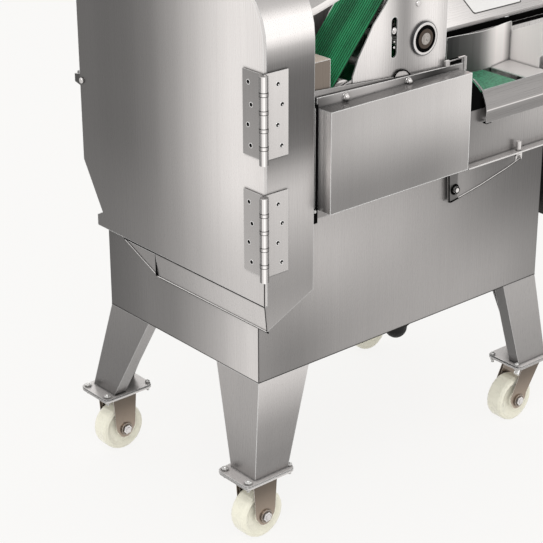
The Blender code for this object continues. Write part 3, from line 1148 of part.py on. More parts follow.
def make_console():
    low = CABINET_LOW_TOP + SEAT_GAP
    lip = low + CONSOLE_LIP
    crest = lip + CONSOLE_SLOPE_RISE
    crest_y = CONSOLE_FRONT + CONSOLE_SLOPE_RUN
    wall = CONSOLE_SHEET
    section = [(CONSOLE_FRONT, low), (BASE_DEPTH, low), (BASE_DEPTH, crest), (crest_y, crest),
               (CONSOLE_FRONT, lip)]
    length = RIGHT_END - CONSOLE_START
    middle = (RIGHT_END + CONSOLE_START) / 2
    console = plate("console_box", section, length, "YZ", middle)
    inner = [(CONSOLE_FRONT + 3 * wall, low + wall), (BASE_DEPTH - wall, low + wall),
             (BASE_DEPTH - wall, crest - wall), (crest_y + wall / 2, crest - wall),
             (CONSOLE_FRONT + 3 * wall, low + 3 * wall)]
    cut(console, plate("console_inside", inner, length - 2 * wall, "YZ", middle))
    for x, radius in ((START_X, BUTTON_RADIUS), (STOP_X, BUTTON_RADIUS), (EMERGENCY_X, EMERGENCY_STEM)):
        hole = cylinder(f"button_hole_{x}", radius + RUNNING_GAP, -0.02, 0.02, "Z", (0, 0), segments=16)
        hole.location = on_panel(x, CONTROL_ROW)
        hole.rotation_euler = (CONSOLE_SLOPE, 0, 0)
        cut(console, hole)
    cut(console, box("console_wireway", (CONSOLE_START + 0.08, 0.20, low - CUT_PAST),
                     (CONSOLE_START + 0.20, 0.32, low + wall + OVERLAP)))
    make_controls()


def on_panel(x, run, lift=0.0):
    """A point on the console's slope: run is measured back from its lower edge, lift out of it."""
    lip = CABINET_LOW_TOP + SEAT_GAP + CONSOLE_LIP
    slope = CONSOLE_SLOPE
    return Vector((x, CONSOLE_FRONT + run * math.cos(slope) - lift * math.sin(slope),
                   lip + run * math.sin(slope) + lift * math.cos(slope)))


def make_controls():
    """A speed knob, a start, a stop and an emergency button, each standing square on the slope."""
    controls = {
        "speed_knob": (KNOB_X, knob_profile(), BLACK_PLASTIC, SEAT_GAP),
        "start_button": (START_X, button_profile(), GREEN_PLASTIC, 0),
        "stop_button": (STOP_X, button_profile(), RED_PLASTIC, 0),
        "emergency_button": (EMERGENCY_X, mushroom_profile(), RED_PLASTIC, 0),
    }
    for name, (x, profile, finish, lift) in controls.items():
        knob = turned(name, profile, "Z", on_panel(x, CONTROL_ROW, lift), finish, 16)
        knob.rotation_euler = (CONSOLE_SLOPE, 0, 0)


def knob_profile():
    radius, height = KNOB_RADIUS, KNOB_HEIGHT
    return [(0, height), (radius * 0.85, height), (radius * 0.95, height * 0.9), (radius, height * 0.2),
            (radius, 0), (0, 0)]


def button_profile():
    """A button that slides in its hole in the panel; its root stays in the hole when it is pressed."""
    radius, height, root = BUTTON_RADIUS, BUTTON_HEIGHT, -2 * CONSOLE_SHEET
    return [(0, height), (radius * 0.7, height * 0.95), (radius, height * 0.7), (radius, root), (0, root)]


def mushroom_profile():
    """An emergency button: a mushroom head that stands its travel off the panel, on a stem."""
    head, top, stem = EMERGENCY_RADIUS, EMERGENCY_HEIGHT, EMERGENCY_STEM
    under = EMERGENCY_TRAVEL + 2 * SEAT_GAP
    root = -2 * CONSOLE_SHEET
    return [(0, top), (head * 0.7, top * 0.93), (head, top * 0.68), (head, under), (stem, under), (stem, root),
            (0, root)]


# Front bracket and wing bolt

def make_bracket():
    outline = [(0.3755, 0.5185), (0.379, 0.466), (0.399, 0.469), (0.450, 0.478), (0.510, 0.492),
               (0.540, 0.501), (0.5465, 0.5185)]
    bracket = plate("gusset_bracket", outline, BRACKET_SHEET, "XZ", BRACKET_Y)
    bolt = turned("bracket_bolt", [
        (0, -BRACKET_Y - SEAT_GAP), (0.007, -BRACKET_Y - SEAT_GAP), (0.007, 0), (0.0055, 0),
        (0.0055, -BRACKET_SHEET / 2 - 0.004), (0.003, -BRACKET_SHEET / 2 - 0.0055), (0, -BRACKET_SHEET / 2 - 0.0055),
    ], "Y", (0.391, BRACKET_Y, 0.485), BRIGHT, 24)
    foot = box("bracket_foot", (0.520, BRACKET_Y, 0.506), (0.540, -SEAT_GAP, 0.5085))
    fuse(bracket, bolt, foot)


def make_wing_bolt():
    low, high = FLANGE_Z - 0.006, FLANGE_Z + 0.016
    bolt = cylinder("wing_bolt", WING_BOLT_RADIUS, low, high, "Z", (WING_BOLT_X, WING_BOLT_Y), BRIGHT, 20)
    move_origin(bolt, (WING_BOLT_X, WING_BOLT_Y, (low + high) / 2))
    start = FLANGE_Z - 0.001 - SEAT_GAP
    wings = [(0.0035, 0), (-0.0035, 0), (-0.0074, 0.008), (-0.0068, 0.014), (-0.003, 0.006), (0.003, 0.006),
             (0.0068, 0.014), (0.0074, 0.008)]
    outline = [(WING_BOLT_X + x, start - drop) for x, drop in wings]
    collar = cylinder("wing_collar", 0.0065, start - 0.004, start, "Z", (WING_BOLT_X, WING_BOLT_Y), BRIGHT, 20)
    fuse(bolt, collar, plate("bolt_wings", outline, 0.003, "XZ", WING_BOLT_Y))


make_casters()
make_legs()
make_base()
make_chute()
make_gland()
make_hood()
make_door()
for hinge_level, hinge_rise in (("lower", 0), ("upper", HINGE_PITCH)):
    make_hinge(hinge_level, HINGE_BOTTOM + hinge_rise)
make_knife()
make_knife_motor()
make_mouth()
make_feed_rollers()
make_feed_frame()
make_hopper()
make_end_housing()
make_feed_drive()
make_press_head()
make_press_stand()
make_cabinet()
make_console()
make_bracket()
make_wing_bolt()
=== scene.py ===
"""The looks of a floor-standing vegetable cutting machine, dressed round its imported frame.

Places are written in millimetres from the left front corner of the base, with heights from the floor, as on
the machine's drawing. place() turns them into the frame's metres.
"""
import math

import bmesh
import bpy
from mathutils import Matrix, Vector


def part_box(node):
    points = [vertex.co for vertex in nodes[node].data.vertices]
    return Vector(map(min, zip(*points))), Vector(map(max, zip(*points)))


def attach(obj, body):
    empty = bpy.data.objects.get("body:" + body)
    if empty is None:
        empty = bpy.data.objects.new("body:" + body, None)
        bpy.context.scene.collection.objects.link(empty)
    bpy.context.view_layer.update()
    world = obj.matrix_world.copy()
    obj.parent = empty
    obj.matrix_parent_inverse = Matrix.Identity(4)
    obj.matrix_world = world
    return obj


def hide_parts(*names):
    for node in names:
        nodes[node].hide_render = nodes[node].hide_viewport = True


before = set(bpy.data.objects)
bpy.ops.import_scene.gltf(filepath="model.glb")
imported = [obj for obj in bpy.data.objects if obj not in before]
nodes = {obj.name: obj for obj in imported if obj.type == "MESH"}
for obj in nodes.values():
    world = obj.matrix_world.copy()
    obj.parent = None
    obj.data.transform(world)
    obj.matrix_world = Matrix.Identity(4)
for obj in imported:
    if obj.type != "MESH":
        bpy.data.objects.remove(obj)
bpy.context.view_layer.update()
MM = 0.001
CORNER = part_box("base_box")[0]
# The hinges' pins, (x, y).
HINGE_AXIS = (-13.0, -29.5)
HINGE_RADIUS = 6.5
AXES = "XYZ"
LEFT, FRONT, BACK, UP, DOWN = (-1, 0, 0), (0, -1, 0), (0, 1, 0), (0, 0, 1), (0, 0, -1)


def place(x, y, z):
    """A point given in machine millimetres, in the frame's metres."""
    return Vector((CORNER[0] + x * MM, CORNER[1] + y * MM, z * MM))


# Camera

# The photograph's camera, solved from the edges of the base, the door and the legs.
CAMERA_PLACE = (-1436.7, -1714.1, 1451.3)
CAMERA_YAW = 40.458
CAMERA_PITCH = 23.95
CAMERA_ROLL = 0.159
CAMERA_LENS = 114.63
SENSOR = 36.0


def make_camera():
    """Angles in degrees. Yaw is from +Y towards +X, and pitch looks down."""
    yaw, pitch, roll = (math.radians(a) for a in (CAMERA_YAW, CAMERA_PITCH, CAMERA_ROLL))
    forward = Vector((math.sin(yaw) * math.cos(pitch), math.cos(yaw) * math.cos(pitch), -math.sin(pitch)))
    level_right = Vector((math.cos(yaw), -math.sin(yaw), 0))
    level_down = forward.cross(level_right)
    right = level_right * math.cos(roll) + level_down * math.sin(roll)
    down = level_down * math.cos(roll) - level_right * math.sin(roll)
    camera = bpy.data.objects.new("camera", bpy.data.cameras.new("camera"))
    camera.data.lens = CAMERA_LENS
    camera.data.sensor_width = SENSOR
    camera.data.clip_end = 20
    camera.matrix_world = Matrix((right, -down, -forward)).transposed().to_4x4()
    camera.location = place(*CAMERA_PLACE)
    bpy.context.scene.collection.objects.link(camera)
    bpy.context.scene.camera = camera


make_camera()


# Node trees

class Tree:
    """A short way to write a material's node tree."""

    def __init__(self, owner):
        self.tree = owner.node_tree
        self.tree.nodes.clear()

    def add(self, kind, sockets=None, **settings):
        node = self.tree.nodes.new("ShaderNode" + kind)
        for key, value in settings.items():
            setattr(node, key, value)
        for key, value in (sockets or {}).items():
            self.set(node.inputs[key], value)
        return node

    def set(self, socket, value):
        if isinstance(value, bpy.types.NodeSocket):
            self.tree.links.new(value, socket)
        elif isinstance(value, bpy.types.Node):
            self.tree.links.new(value.outputs[0], socket)
        elif hasattr(value, "__len__") and socket.type == "RGBA":
            socket.default_value = (*value, 1)
        else:
            socket.default_value = value

    def math(self, operation, a, b=0.0):
        return self.add("Math", {0: a, 1: b}, operation=operation).outputs[0]

    def ramp(self, value, start, end, low=0.0, high=1.0, smooth=False):
        """A value mapped from one range to another, clamped."""
        kind = "SMOOTHSTEP" if smooth else "LINEAR"
        node = self.add("MapRange", {"Value": value, "From Min": start, "From Max": end, "To Min": low,
                                     "To Max": high}, interpolation_type=kind)
        return node.outputs[0]

    def curve(self, value, stops):
        """Grey tones along a value: stops are (value, tone), in rising order."""
        first, last = stops[0][0], stops[-1][0]
        node = self.add("ValToRGB", {"Fac": self.ramp(value, first, last)})
        ramp = node.color_ramp
        ramp.interpolation = "CARDINAL"
        ramp.elements[0].color = (stops[0][1],) * 3 + (1,)
        ramp.elements[1].color = (stops[-1][1],) * 3 + (1,)
        for where, tone in stops[1:-1]:
            ramp.elements.new((where - first) / (last - first)).color = (tone, tone, tone, 1)
        return node.outputs["Color"]

    def mix(self, share, a, b, blend="MIX"):
        """Two colours mixed, multiplied or added."""
        node = self.add("Mix", data_type="RGBA", blend_type=blend)
        for index, value in ((0, share), (6, a), (7, b)):
            self.set(node.inputs[index], value)
        return node.outputs[2]


def new_material(name):
    """A material with an empty node tree."""
    material = bpy.data.materials.new(name)
    material.use_nodes = True
    return material, Tree(material)


def noise(tree, vector, scale, detail=2.0, roughness=0.5):
    """A noise texture's value, between 0 and 1."""
    return tree.add("TexNoise", {"Vector": vector, "Scale": scale, "Detail": detail,
                                 "Roughness": roughness}).outputs["Fac"]


WARM = (1.040, 1.0, 0.985)
GRAIN_FINE, GRAIN_LONG = 2200.0, 14.0
BANDS_FINE, BANDS_LONG = 110.0, 2.0
CLOUDS = 9.0
NOISE_LOW, NOISE_HIGH = 0.3, 0.7
# The reach of the painted edge line, and the reach and fade of the painted shade near other pieces.
EDGE_STARTS, EDGE_FULL = 0.998, 0.955
CONTACT_REACH = 4 * MM
CONTACT_DARK, CONTACT_CLEAR = 0.45, 0.92
GRAIN_RELIEF = {"Strength": 0.035, "Distance": 0.0002}
SPECKLE_RELIEF = {"Strength": 0.04, "Distance": 0.0003}
# The direction towards the camera in plan, and tones across a round bar: its painted highlight.
TO_CAMERA = (-0.58, -0.81)
BARREL_TONES = [(-1.0, 0.10), (-0.70, 0.20), (-0.42, 0.62), (-0.20, 0.95), (0.12, 0.95), (0.42, 0.50),
                (0.72, 0.18), (1.0, 0.10)]


def machine_axes(tree):
    """The three machine coordinates in millimetres, fixed to the piece."""
    point = tree.add("TexCoord").outputs["Object"]
    split = tree.add("SeparateXYZ", {"Vector": point})
    offsets = (CORNER[0], CORNER[1], 0.0)
    return point, [tree.math("MULTIPLY", tree.math("SUBTRACT", split.outputs[i], offsets[i]), 1000.0)
                   for i in range(3)]


def tone_field(tree, axes, spec):
    """A tone that varies along one axis, or between a low and a high run of tones over a height range."""
    if isinstance(spec, float):
        return (spec, spec, spec)
    along, *runs = spec
    value = axes[AXES.index(along)]
    if len(runs) == 1:
        return tree.curve(value, runs[0])
    (z_low, low), (z_high, high) = runs
    share = tree.ramp(axes[2], z_low, z_high, smooth=True)
    return tree.mix(share, tree.curve(value, low), tree.curve(value, high))


def steel(name, left=0.4, front=0.4, top=0.5, grain="Z", roughness=0.30, tint=WARM, edge=0.0, edge_tone=0.85,
          brush=0.024, mottle=0.013, metal=0.65, crease_shade=0.22, barrel=None, plain_above=None):
    """Brushed stainless sheet. left, front and top are the tones of faces square to X, Y and Z; these tones and
    their runs along the piece are painted light, shade and reflections on the sheet.

    The crease setting is how dark the painted shade goes where another piece touches the sheet. barrel is (x, y,
    radius) of a round bar in the piece, which gets the painted narrow highlight of a turned surface. edge and
    edge_tone paint a line along the piece's edges: a painted highlight where edge_tone is bright and painted shade
    where it is dark. Above the height plain_above the tint is that of plain sheet.
    """
    material, tree = new_material(name)
    point, axes = machine_axes(tree)
    normal = tree.add("TexCoord").outputs["Normal"]
    facing = tree.add("SeparateXYZ", {"Vector": tree.add("VectorMath", {0: normal, 1: normal},
                                                         operation="MULTIPLY")})
    # Painted light and shade: each face takes the tone of the axis it faces.
    color = None
    for i, spec in enumerate((left, front, top)):
        tone = tone_field(tree, axes, spec)
        if color is None:
            color = tree.mix(facing.outputs[0], (0, 0, 0), tone)
        else:
            color = tree.mix(1.0, color, tree.mix(facing.outputs[i], (0, 0, 0), tone), "ADD")
    # Painted highlight on a round bar: bright across the side turned to the camera, dark on the side turned away.
    if barrel:
        x, y, radius = barrel
        out = [tree.math("SUBTRACT", axes[0], x), tree.math("SUBTRACT", axes[1], y)]
        reach = tree.math("SQRT", tree.math("ADD", tree.math("POWER", out[0], 2.0), tree.math("POWER", out[1], 2.0)))
        turned = tree.add("SeparateXYZ", {"Vector": normal})
        lean = tree.math("ADD", tree.math("MULTIPLY", turned.outputs[0], TO_CAMERA[0]),
                         tree.math("MULTIPLY", turned.outputs[1], TO_CAMERA[1]))
        side = tree.math("ADD", tree.math("MULTIPLY", turned.outputs[0], -TO_CAMERA[1]),
                         tree.math("MULTIPLY", turned.outputs[1], TO_CAMERA[0]))
        tone = tree.mix(tree.math("GREATER_THAN", lean, 0.0), (0.2, 0.2, 0.2), tree.curve(side, BARREL_TONES))
        color = tree.mix(tree.math("LESS_THAN", reach, radius + 0.2), color, tone)
    stretch = [GRAIN_FINE] * 3
    stretch[AXES.index(grain)] = GRAIN_LONG
    lines = noise(tree, tree.add("Mapping", {"Vector": point, "Scale": stretch}), 1.0, 3.0)
    wide = [BANDS_FINE] * 3
    wide[AXES.index(grain)] = BANDS_LONG
    bands = noise(tree, tree.add("Mapping", {"Vector": point, "Scale": wide}), 1.0, 2.0)
    clouds = noise(tree, point, CLOUDS, 3.0)
    change = tree.math("ADD", tree.ramp(lines, NOISE_LOW, NOISE_HIGH, -brush, brush),
                       tree.ramp(bands, NOISE_LOW, NOISE_HIGH, -mottle, mottle))
    change = tree.math("ADD", change, tree.ramp(clouds, NOISE_LOW, NOISE_HIGH, -mottle, mottle))
    gain = tree.math("ADD", change, 1.0)
    color = tree.mix(1.0, color, gain, "MULTIPLY")
    if plain_above:
        tint = tree.mix(tree.math("GREATER_THAN", axes[2], plain_above), tint, WARM)
    color = tree.mix(1.0, color, tint, "MULTIPLY")
    # Painted edge line: a highlight along the edges when edge_tone is bright, shade when it is dark.
    if edge:
        rounded = tree.add("Bevel", {"Radius": edge * MM}, samples=4)
        flat = tree.add("NewGeometry").outputs["Normal"]
        same = tree.add("VectorMath", {0: rounded.outputs[0], 1: flat}, operation="DOT_PRODUCT").outputs["Value"]
        color = tree.mix(tree.ramp(same, EDGE_STARTS, EDGE_FULL), color, (edge_tone,) * 3)
    # Painted shade where another piece is close, from the occlusion within a few millimetres.
    near = tree.add("AmbientOcclusion", {"Distance": CONTACT_REACH}, samples=4).outputs["AO"]
    color = tree.mix(1.0, color, tree.ramp(near, CONTACT_DARK, CONTACT_CLEAR, crease_shade, 1.0), "MULTIPLY")
    bump = tree.add("Bump", {"Height": lines, **GRAIN_RELIEF})
    shader = tree.add("BsdfPrincipled", {
        "Base Color": color, "Metallic": metal, "Normal": bump,
        "Roughness": tree.ramp(lines, NOISE_LOW, NOISE_HIGH, roughness - 0.05, roughness + 0.06)})
    tree.add("OutputMaterial", {"Surface": shader})
    return material


def dress(node, material):
    """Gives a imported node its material."""
    mesh = nodes[node].data
    mesh.materials.clear()
    mesh.materials.append(material)


def plain(name, color, roughness, metallic=0.0, coat=0.0, speckle=0.06, scale=300.0, specular=0.5):
    """A moulded, painted or cast surface with a fine speckle."""
    material, tree = new_material(name)
    point = tree.add("TexCoord").outputs["Object"]
    grain = noise(tree, point, scale, 3.0)
    cloud = noise(tree, point, 25.0, 2.0)
    gain = tree.math("ADD", tree.ramp(grain, NOISE_LOW, NOISE_HIGH, 1 - speckle, 1 + speckle),
                     tree.ramp(cloud, NOISE_LOW, NOISE_HIGH, -speckle, speckle))
    shader = tree.add("BsdfPrincipled", {
        "Base Color": tree.mix(1.0, color, gain, "MULTIPLY"), "Metallic": metallic, "Coat Weight": coat,
        "Specular IOR Level": specular,
        "Roughness": tree.ramp(grain, NOISE_LOW, NOISE_HIGH, roughness - 0.04, roughness + 0.05),
        "Normal": tree.add("Bump", {"Height": grain, **SPECKLE_RELIEF})})
    tree.add("OutputMaterial", {"Surface": shader})
    return material


# Mesh tools

def add_mesh(name, shape, material, body="frame", smooth=None):
    """Puts a bmesh into the scene as a piece that rides on a body. smooth is the sharpest angle shaded round."""
    mesh = bpy.data.meshes.new(name)
    shape.to_mesh(mesh)
    shape.free()
    mesh.materials.append(material)
    piece = bpy.data.objects.new(name, mesh)
    bpy.context.scene.collection.objects.link(piece)
    if smooth:
        mesh.shade_smooth()
        mesh.set_sharp_from_angle(angle=math.radians(smooth))
    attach(piece, body)
    return piece


def frame_of(axis):
    """A rotation that turns +Z to the given axis."""
    return Vector((0, 0, 1)).rotation_difference(Vector(axis)).to_matrix().to_4x4()


def lathe(shape, profile, centre, axis, segments, spin=0.0):
    """Adds a profile of (radius, height) in mm turned about an axis. The profile runs from top to bottom."""
    turn = Matrix.Translation(centre) @ frame_of(axis) @ Matrix.Rotation(math.radians(spin), 4, "Z")
    rings = []
    for radius, height in profile:
        if radius < 1e-6:
            rings.append([shape.verts.new(turn @ Vector((0, 0, height * MM)))])
            continue
        angles = [2 * math.pi * i / segments for i in range(segments)]
        rings.append([shape.verts.new(turn @ Vector((radius * MM * math.cos(a), radius * MM * math.sin(a),
                                                     height * MM))) for a in angles])
    for upper, lower in zip(rings, rings[1:]):
        for i in range(segments):
            j = (i + 1) % segments
            ring = [upper[i % len(upper)], lower[i % len(lower)], lower[j % len(lower)], upper[j % len(upper)]]
            ring = list(dict.fromkeys(ring))
            if len(ring) > 2:
                shape.faces.new(ring)


def slab(shape, low, high, bevel=0.0):
    """Adds a box between two corners given in machine mm, with bevelled edges."""
    a, b = place(*low), place(*high)
    made = bmesh.ops.create_cube(shape, size=1.0, matrix=Matrix.Translation((a + b) / 2)
                                 @ Matrix.Diagonal((*(b - a), 1)))
    if bevel:
        edges = list(dict.fromkeys(e for v in made["verts"] for e in v.link_edges))
        bmesh.ops.bevel(shape, geom=edges, offset=bevel * MM, segments=2, affect="EDGES")


def prism(shape, corners, depth):
    """Adds a flat plate between a ring of corners and the same ring moved by depth, both in metres."""
    near = [shape.verts.new(c) for c in corners]
    far = [shape.verts.new(c + depth) for c in corners]
    shape.faces.new(near)
    shape.faces.new(far[::-1])
    for i in range(len(near)):
        j = (i + 1) % len(near)
        shape.faces.new([near[i], far[i], far[j], near[j]])
    bmesh.ops.recalc_face_normals(shape, faces=shape.faces)


def rounded(width, height, radius, steps=4):
    """The corners of a rounded rectangle in its own plane, from its lower left corner."""
    points = []
    for cx, cy, start in ((width - radius, radius, -90), (width - radius, height - radius, 0),
                          (radius, height - radius, 90), (radius, radius, 180)):
        for i in range(steps + 1):
            angle = math.radians(start + 90 * i / steps)
            points.append((cx + radius * math.cos(angle), cy + radius * math.sin(angle)))
    return points


def rod(shape, points, radius, sides=8):
    """Adds a round rod through points given in machine mm."""
    centres = [place(*point) for point in points]
    rings = []
    for i, centre in enumerate(centres):
        along = (centres[min(i + 1, len(centres) - 1)] - centres[max(i - 1, 0)]).normalized()
        turn = Matrix.Translation(centre) @ frame_of(along)
        rings.append([shape.verts.new(turn @ Vector((radius * MM * math.cos(2 * math.pi * k / sides),
                                                     radius * MM * math.sin(2 * math.pi * k / sides), 0)))
                      for k in range(sides)])
    for low, high in zip(rings, rings[1:]):
        for k in range(sides):
            shape.faces.new([low[k], low[(k + 1) % sides], high[(k + 1) % sides], high[k]])
    shape.faces.new(rings[0][::-1])
    shape.faces.new(rings[-1])


def hexagon(shape, centre, axis, radius, height, spin):
    """Adds a nut or a bolt head with chamfered corners, in mm from its centre's face."""
    lathe(shape, [(0, height), (radius * 0.80, height), (radius, height * 0.72), (radius, 0), (0, 0)], centre, axis,
          6, spin)


def dome(shape, centre, axis, radius, height, segments):
    """Adds a rounded cap, in mm from its centre's face."""
    lathe(shape, [(0, height), (radius * 0.45, height * 0.90), (radius * 0.80, height * 0.60),
                  (radius, height * 0.15), (radius, 0), (0, 0)], centre, axis, segments)


# Shared finishes: facing tones painted as light, and a black painted as the shade in recesses

# Tops painted lightest, fronts less and left sides least, as light falls; the edges get a painted highlight.
BRIGHT = steel("bright_fittings", 0.50, 0.72, 0.95, roughness=0.16, brush=0.04, mottle=0.06, edge=0.4,
               edge_tone=1.0, crease_shade=0.15)
ZINC = steel("zinc_bolts", 0.34, 0.56, 0.95, roughness=0.20, brush=0.05, mottle=0.10, tint=(1.0, 0.99, 0.97),
             edge=0.4, edge_tone=1.0, crease_shade=0.12)
# Black painted as the shade in a recess.
SHADOW_STEEL = plain("recess_shade_black", (0.035, 0.033, 0.032), 0.45, metallic=0.6)


# Sheet metal, with tones as (place in machine mm, tone): painted light, shade and reflections on each sheet

DOOR_HIGH = [(-24, 0.72), (30, 0.76), (70, 0.68), (115, 0.52), (160, 0.35), (215, 0.20), (270, 0.125),
             (330, 0.10), (411, 0.10), (415, 0.05), (427, 0.05)]
DOOR_LOW = [(-24, 0.57), (60, 0.52), (110, 0.42), (160, 0.31), (230, 0.20), (300, 0.15), (427, 0.12)]
dress("knife_door", steel("door_sheet", ("Y", (425, DOOR_LOW), (610, DOOR_HIGH)), 0.62, 0.8, edge=1.3,
                          edge_tone=0.88))
# The hood's painted reflection is the bright band from 802 to 824 mm high.
HOOD_BAND = [(372, 0.36), (438, 0.31), (500, 0.42), (575, 0.54), (612, 0.36), (640, 0.17), (712, 0.12),
             (765, 0.20), (786, 0.52), (802, 1.0), (824, 1.0), (838, 0.58), (856, 0.43), (889, 0.46)]
HOOD_SIDE = [(-24, 0.58), (0, 0.56), (60, 0.52), (130, 0.39), (200, 0.26), (320, 0.21)]
dress("hood_shell", steel("hood_sheet", ("Y", HOOD_SIDE), ("Z", HOOD_BAND), ("Z", HOOD_BAND), edge=1.3,
                          edge_tone=0.72))
BASE_LEFT = [(0, 0.63), (28, 0.60), (80, 0.43), (180, 0.21), (275, 0.145), (365, 0.085)]
BASE_LOW = [(0, 0.26), (70, 0.22), (150, 0.30), (300, 0.36), (450, 0.36), (530, 0.31), (600, 0.25)]
BASE_HIGH = [(0, 0.40), (90, 0.50), (200, 0.46), (300, 0.40), (400, 0.29), (490, 0.18), (600, 0.12)]
dress("base_box", steel("base_sheet", ("Y", BASE_LEFT), ("X", (300, BASE_LOW), (480, BASE_HIGH)), 0.30,
                        edge=1.7, edge_tone=0.06))
# Painted shade on the legs, darkest on the rear legs and on the right front leg's left face.
LEG_LEFT = [(114, 0.24), (190, 0.32), (279, 0.37)]
LEG_FRONT = [(114, 0.24), (160, 0.26), (215, 0.37), (279, 0.64)]
REAR_LEG = [(114, 0.14), (200, 0.15), (279, 0.18)]
dress("leg_front_left", steel("leg_sheet_front_left", ("Z", LEG_LEFT), ("Z", LEG_FRONT), 0.86, edge=1.6))
dress("leg_front_right", steel("leg_sheet_front_right", 0.025, ("Z", [(114, 0.26), (279, 0.36)]), 0.8, edge=0.9,
                                metal=0.2))
dress("leg_rear_left", steel("leg_sheet_rear_left", ("Z", REAR_LEG), ("Z", [(114, 0.10), (200, 0.15), (279, 0.24)]),
                              0.72, edge=1.4, edge_tone=0.6))
dress("leg_rear_right", steel("leg_sheet_rear_right", 0.2, 0.2, 0.3, edge=0.9, edge_tone=0.6))
GUARD_LOW = [(96, 0.24), (130, 0.23), (200, 0.24), (300, 0.24), (377, 0.34)]
GUARD_HIGH = [(96, 0.42), (160, 0.48), (240, 0.52), (320, 0.58), (377, 0.66)]
dress("drive_guard", steel("guard_sheet", ("Z", [(532, 0.22), (600, 0.75), (684, 1.0)]),
                           ("X", (545, GUARD_LOW), (655, GUARD_HIGH)),
                           ("X", [(96, 0.16), (200, 0.22), (300, 0.30), (377, 0.46)]), grain="Z",
                           roughness=0.24, edge=2.0, edge_tone=1.0))
# A painted reflection along the rail, light and dark in turn.
RAIL_RUN = [(94, 0.12), (125, 0.36), (180, 0.58), (225, 0.54), (262, 0.24), (300, 0.07), (345, 0.07), (392, 0.34)]
dress("rail_plate", steel("rail_sheet", 0.2, ("X", RAIL_RUN), 0.80, grain="X", roughness=0.20, brush=0.03,
                          metal=0.2, edge=1.2, edge_tone=1.0))
dress("feed_mouth", steel("mouth_block", 0.3, 0.18, 0.50, tint=(1.20, 1.0, 0.84), edge=1.6,
                           edge_tone=0.95))
PRESS_LOW = [(168, 0.72), (215, 0.72), (245, 0.46), (266, 0.33), (300, 0.46), (338, 0.74), (356, 0.45)]
PRESS_HIGH = [(168, 0.80), (222, 0.84), (248, 0.52), (266, 0.32), (282, 0.46), (302, 0.76), (330, 0.86), (356, 0.62)]
dress("press_arm", steel("press_plate", 0.5, ("X", (695, PRESS_LOW), (775, PRESS_HIGH)), 0.7, edge=1.5,
                         edge_tone=0.95))
CONVEYOR_LOW = [(87, 0.30), (400, 0.26), (560, 0.33), (740, 0.42)]
CONVEYOR_HIGH = [(87, 0.34), (400, 0.20), (560, 0.52), (740, 0.62)]
dress("feed_frame", steel("conveyor_frame", 0.16, ("X", (525, CONVEYOR_LOW), (610, CONVEYOR_HIGH)), 0.70,
                          edge=0.7, edge_tone=0.8))
# A painted highlight along the cover's bend, 603.8 to 604.6 mm high.
COVER_FRONT = [(584, 0.24), (602.9, 0.30), (603.8, 0.75), (604.6, 0.75), (605.6, 0.36), (622, 0.33), (648, 0.24)]
COVER_TOP = [(600, 0.40), (640, 0.24), (650, 0.45)]
dress("feed_front_cover", steel("rolled_cover", 0.3, ("Z", COVER_FRONT), ("Z", COVER_TOP), grain="X", edge=0.5,
                                edge_tone=0.95))
# The guide's painted reflection: dark at its left end, brightest near 564 mm.
GUIDE = [(448, 0.005), (470, 0.01), (500, 0.07), (515, 0.18), (530, 0.45), (550, 0.88), (564, 1.0), (577, 0.95),
         (588, 0.45), (598, 0.30)]
dress("loading_plate", steel("loading_sheet", 0.80, ("X", GUIDE), 0.62, edge=0.9, edge_tone=1.0, metal=0.2,
                             roughness=0.4))
dress("end_housing", steel("end_housing_sheet", 0.05, 0.30, 0.4, edge=0.8))
BRACKET = [(376, 0.15), (396, 0.16), (398, 0.30), (440, 0.22), (500, 0.16), (546, 0.22)]
dress("gusset_bracket", steel("bracket_sheet", 0.3, ("X", BRACKET), 0.6, edge=0.6, edge_tone=0.9))
CABINET = [(85, 0.12), (200, 0.20), (330, 0.34), (450, 0.10), (600, 0.36)]
dress("rear_cabinet", steel("cabinet_sheet", 0.30, ("X", CABINET), 0.45, edge=0.7))
CONSOLE_FRONT = [(345, 0.72), (420, 0.98), (520, 0.74), (620, 0.52), (740, 0.50)]
CONSOLE_SLOPE = [(345, 0.72), (420, 1.0), (520, 0.74), (620, 0.52), (740, 0.50)]
dress("console_box", steel("console_sheet", 0.42, ("X", CONSOLE_FRONT), ("X", CONSOLE_SLOPE), grain="X", edge=0.8,
                           edge_tone=0.9))
dress("discharge_chute", steel("chute_sheet", 0.4, 0.4, 0.5))
dress("press_stand", steel("stand_plate", 0.3, 0.25, 0.4, edge=0.8))
dress("stay_bar", steel("stay_bar_steel", 0.85, 0.80, 0.92, roughness=0.14, brush=0.03))
LEAF_LEFT = [(455, 0.40), (582, 0.36), (629, 0.30), (756, 0.24)]
LEAF_FRONT = [(455, 0.50), (582, 0.58), (629, 0.60), (756, 0.70)]
for level in ("lower", "upper"):
    for side in ("door", "hood"):
        node = f"hinge_{side}_leaf_{level}"
        dress(node, steel(node + "_steel", ("Z", LEAF_LEFT), ("Z", LEAF_FRONT), 0.6, roughness=0.18, brush=0.05,
                          edge=0.5, edge_tone=0.92, barrel=(*HINGE_AXIS, HINGE_RADIUS)))
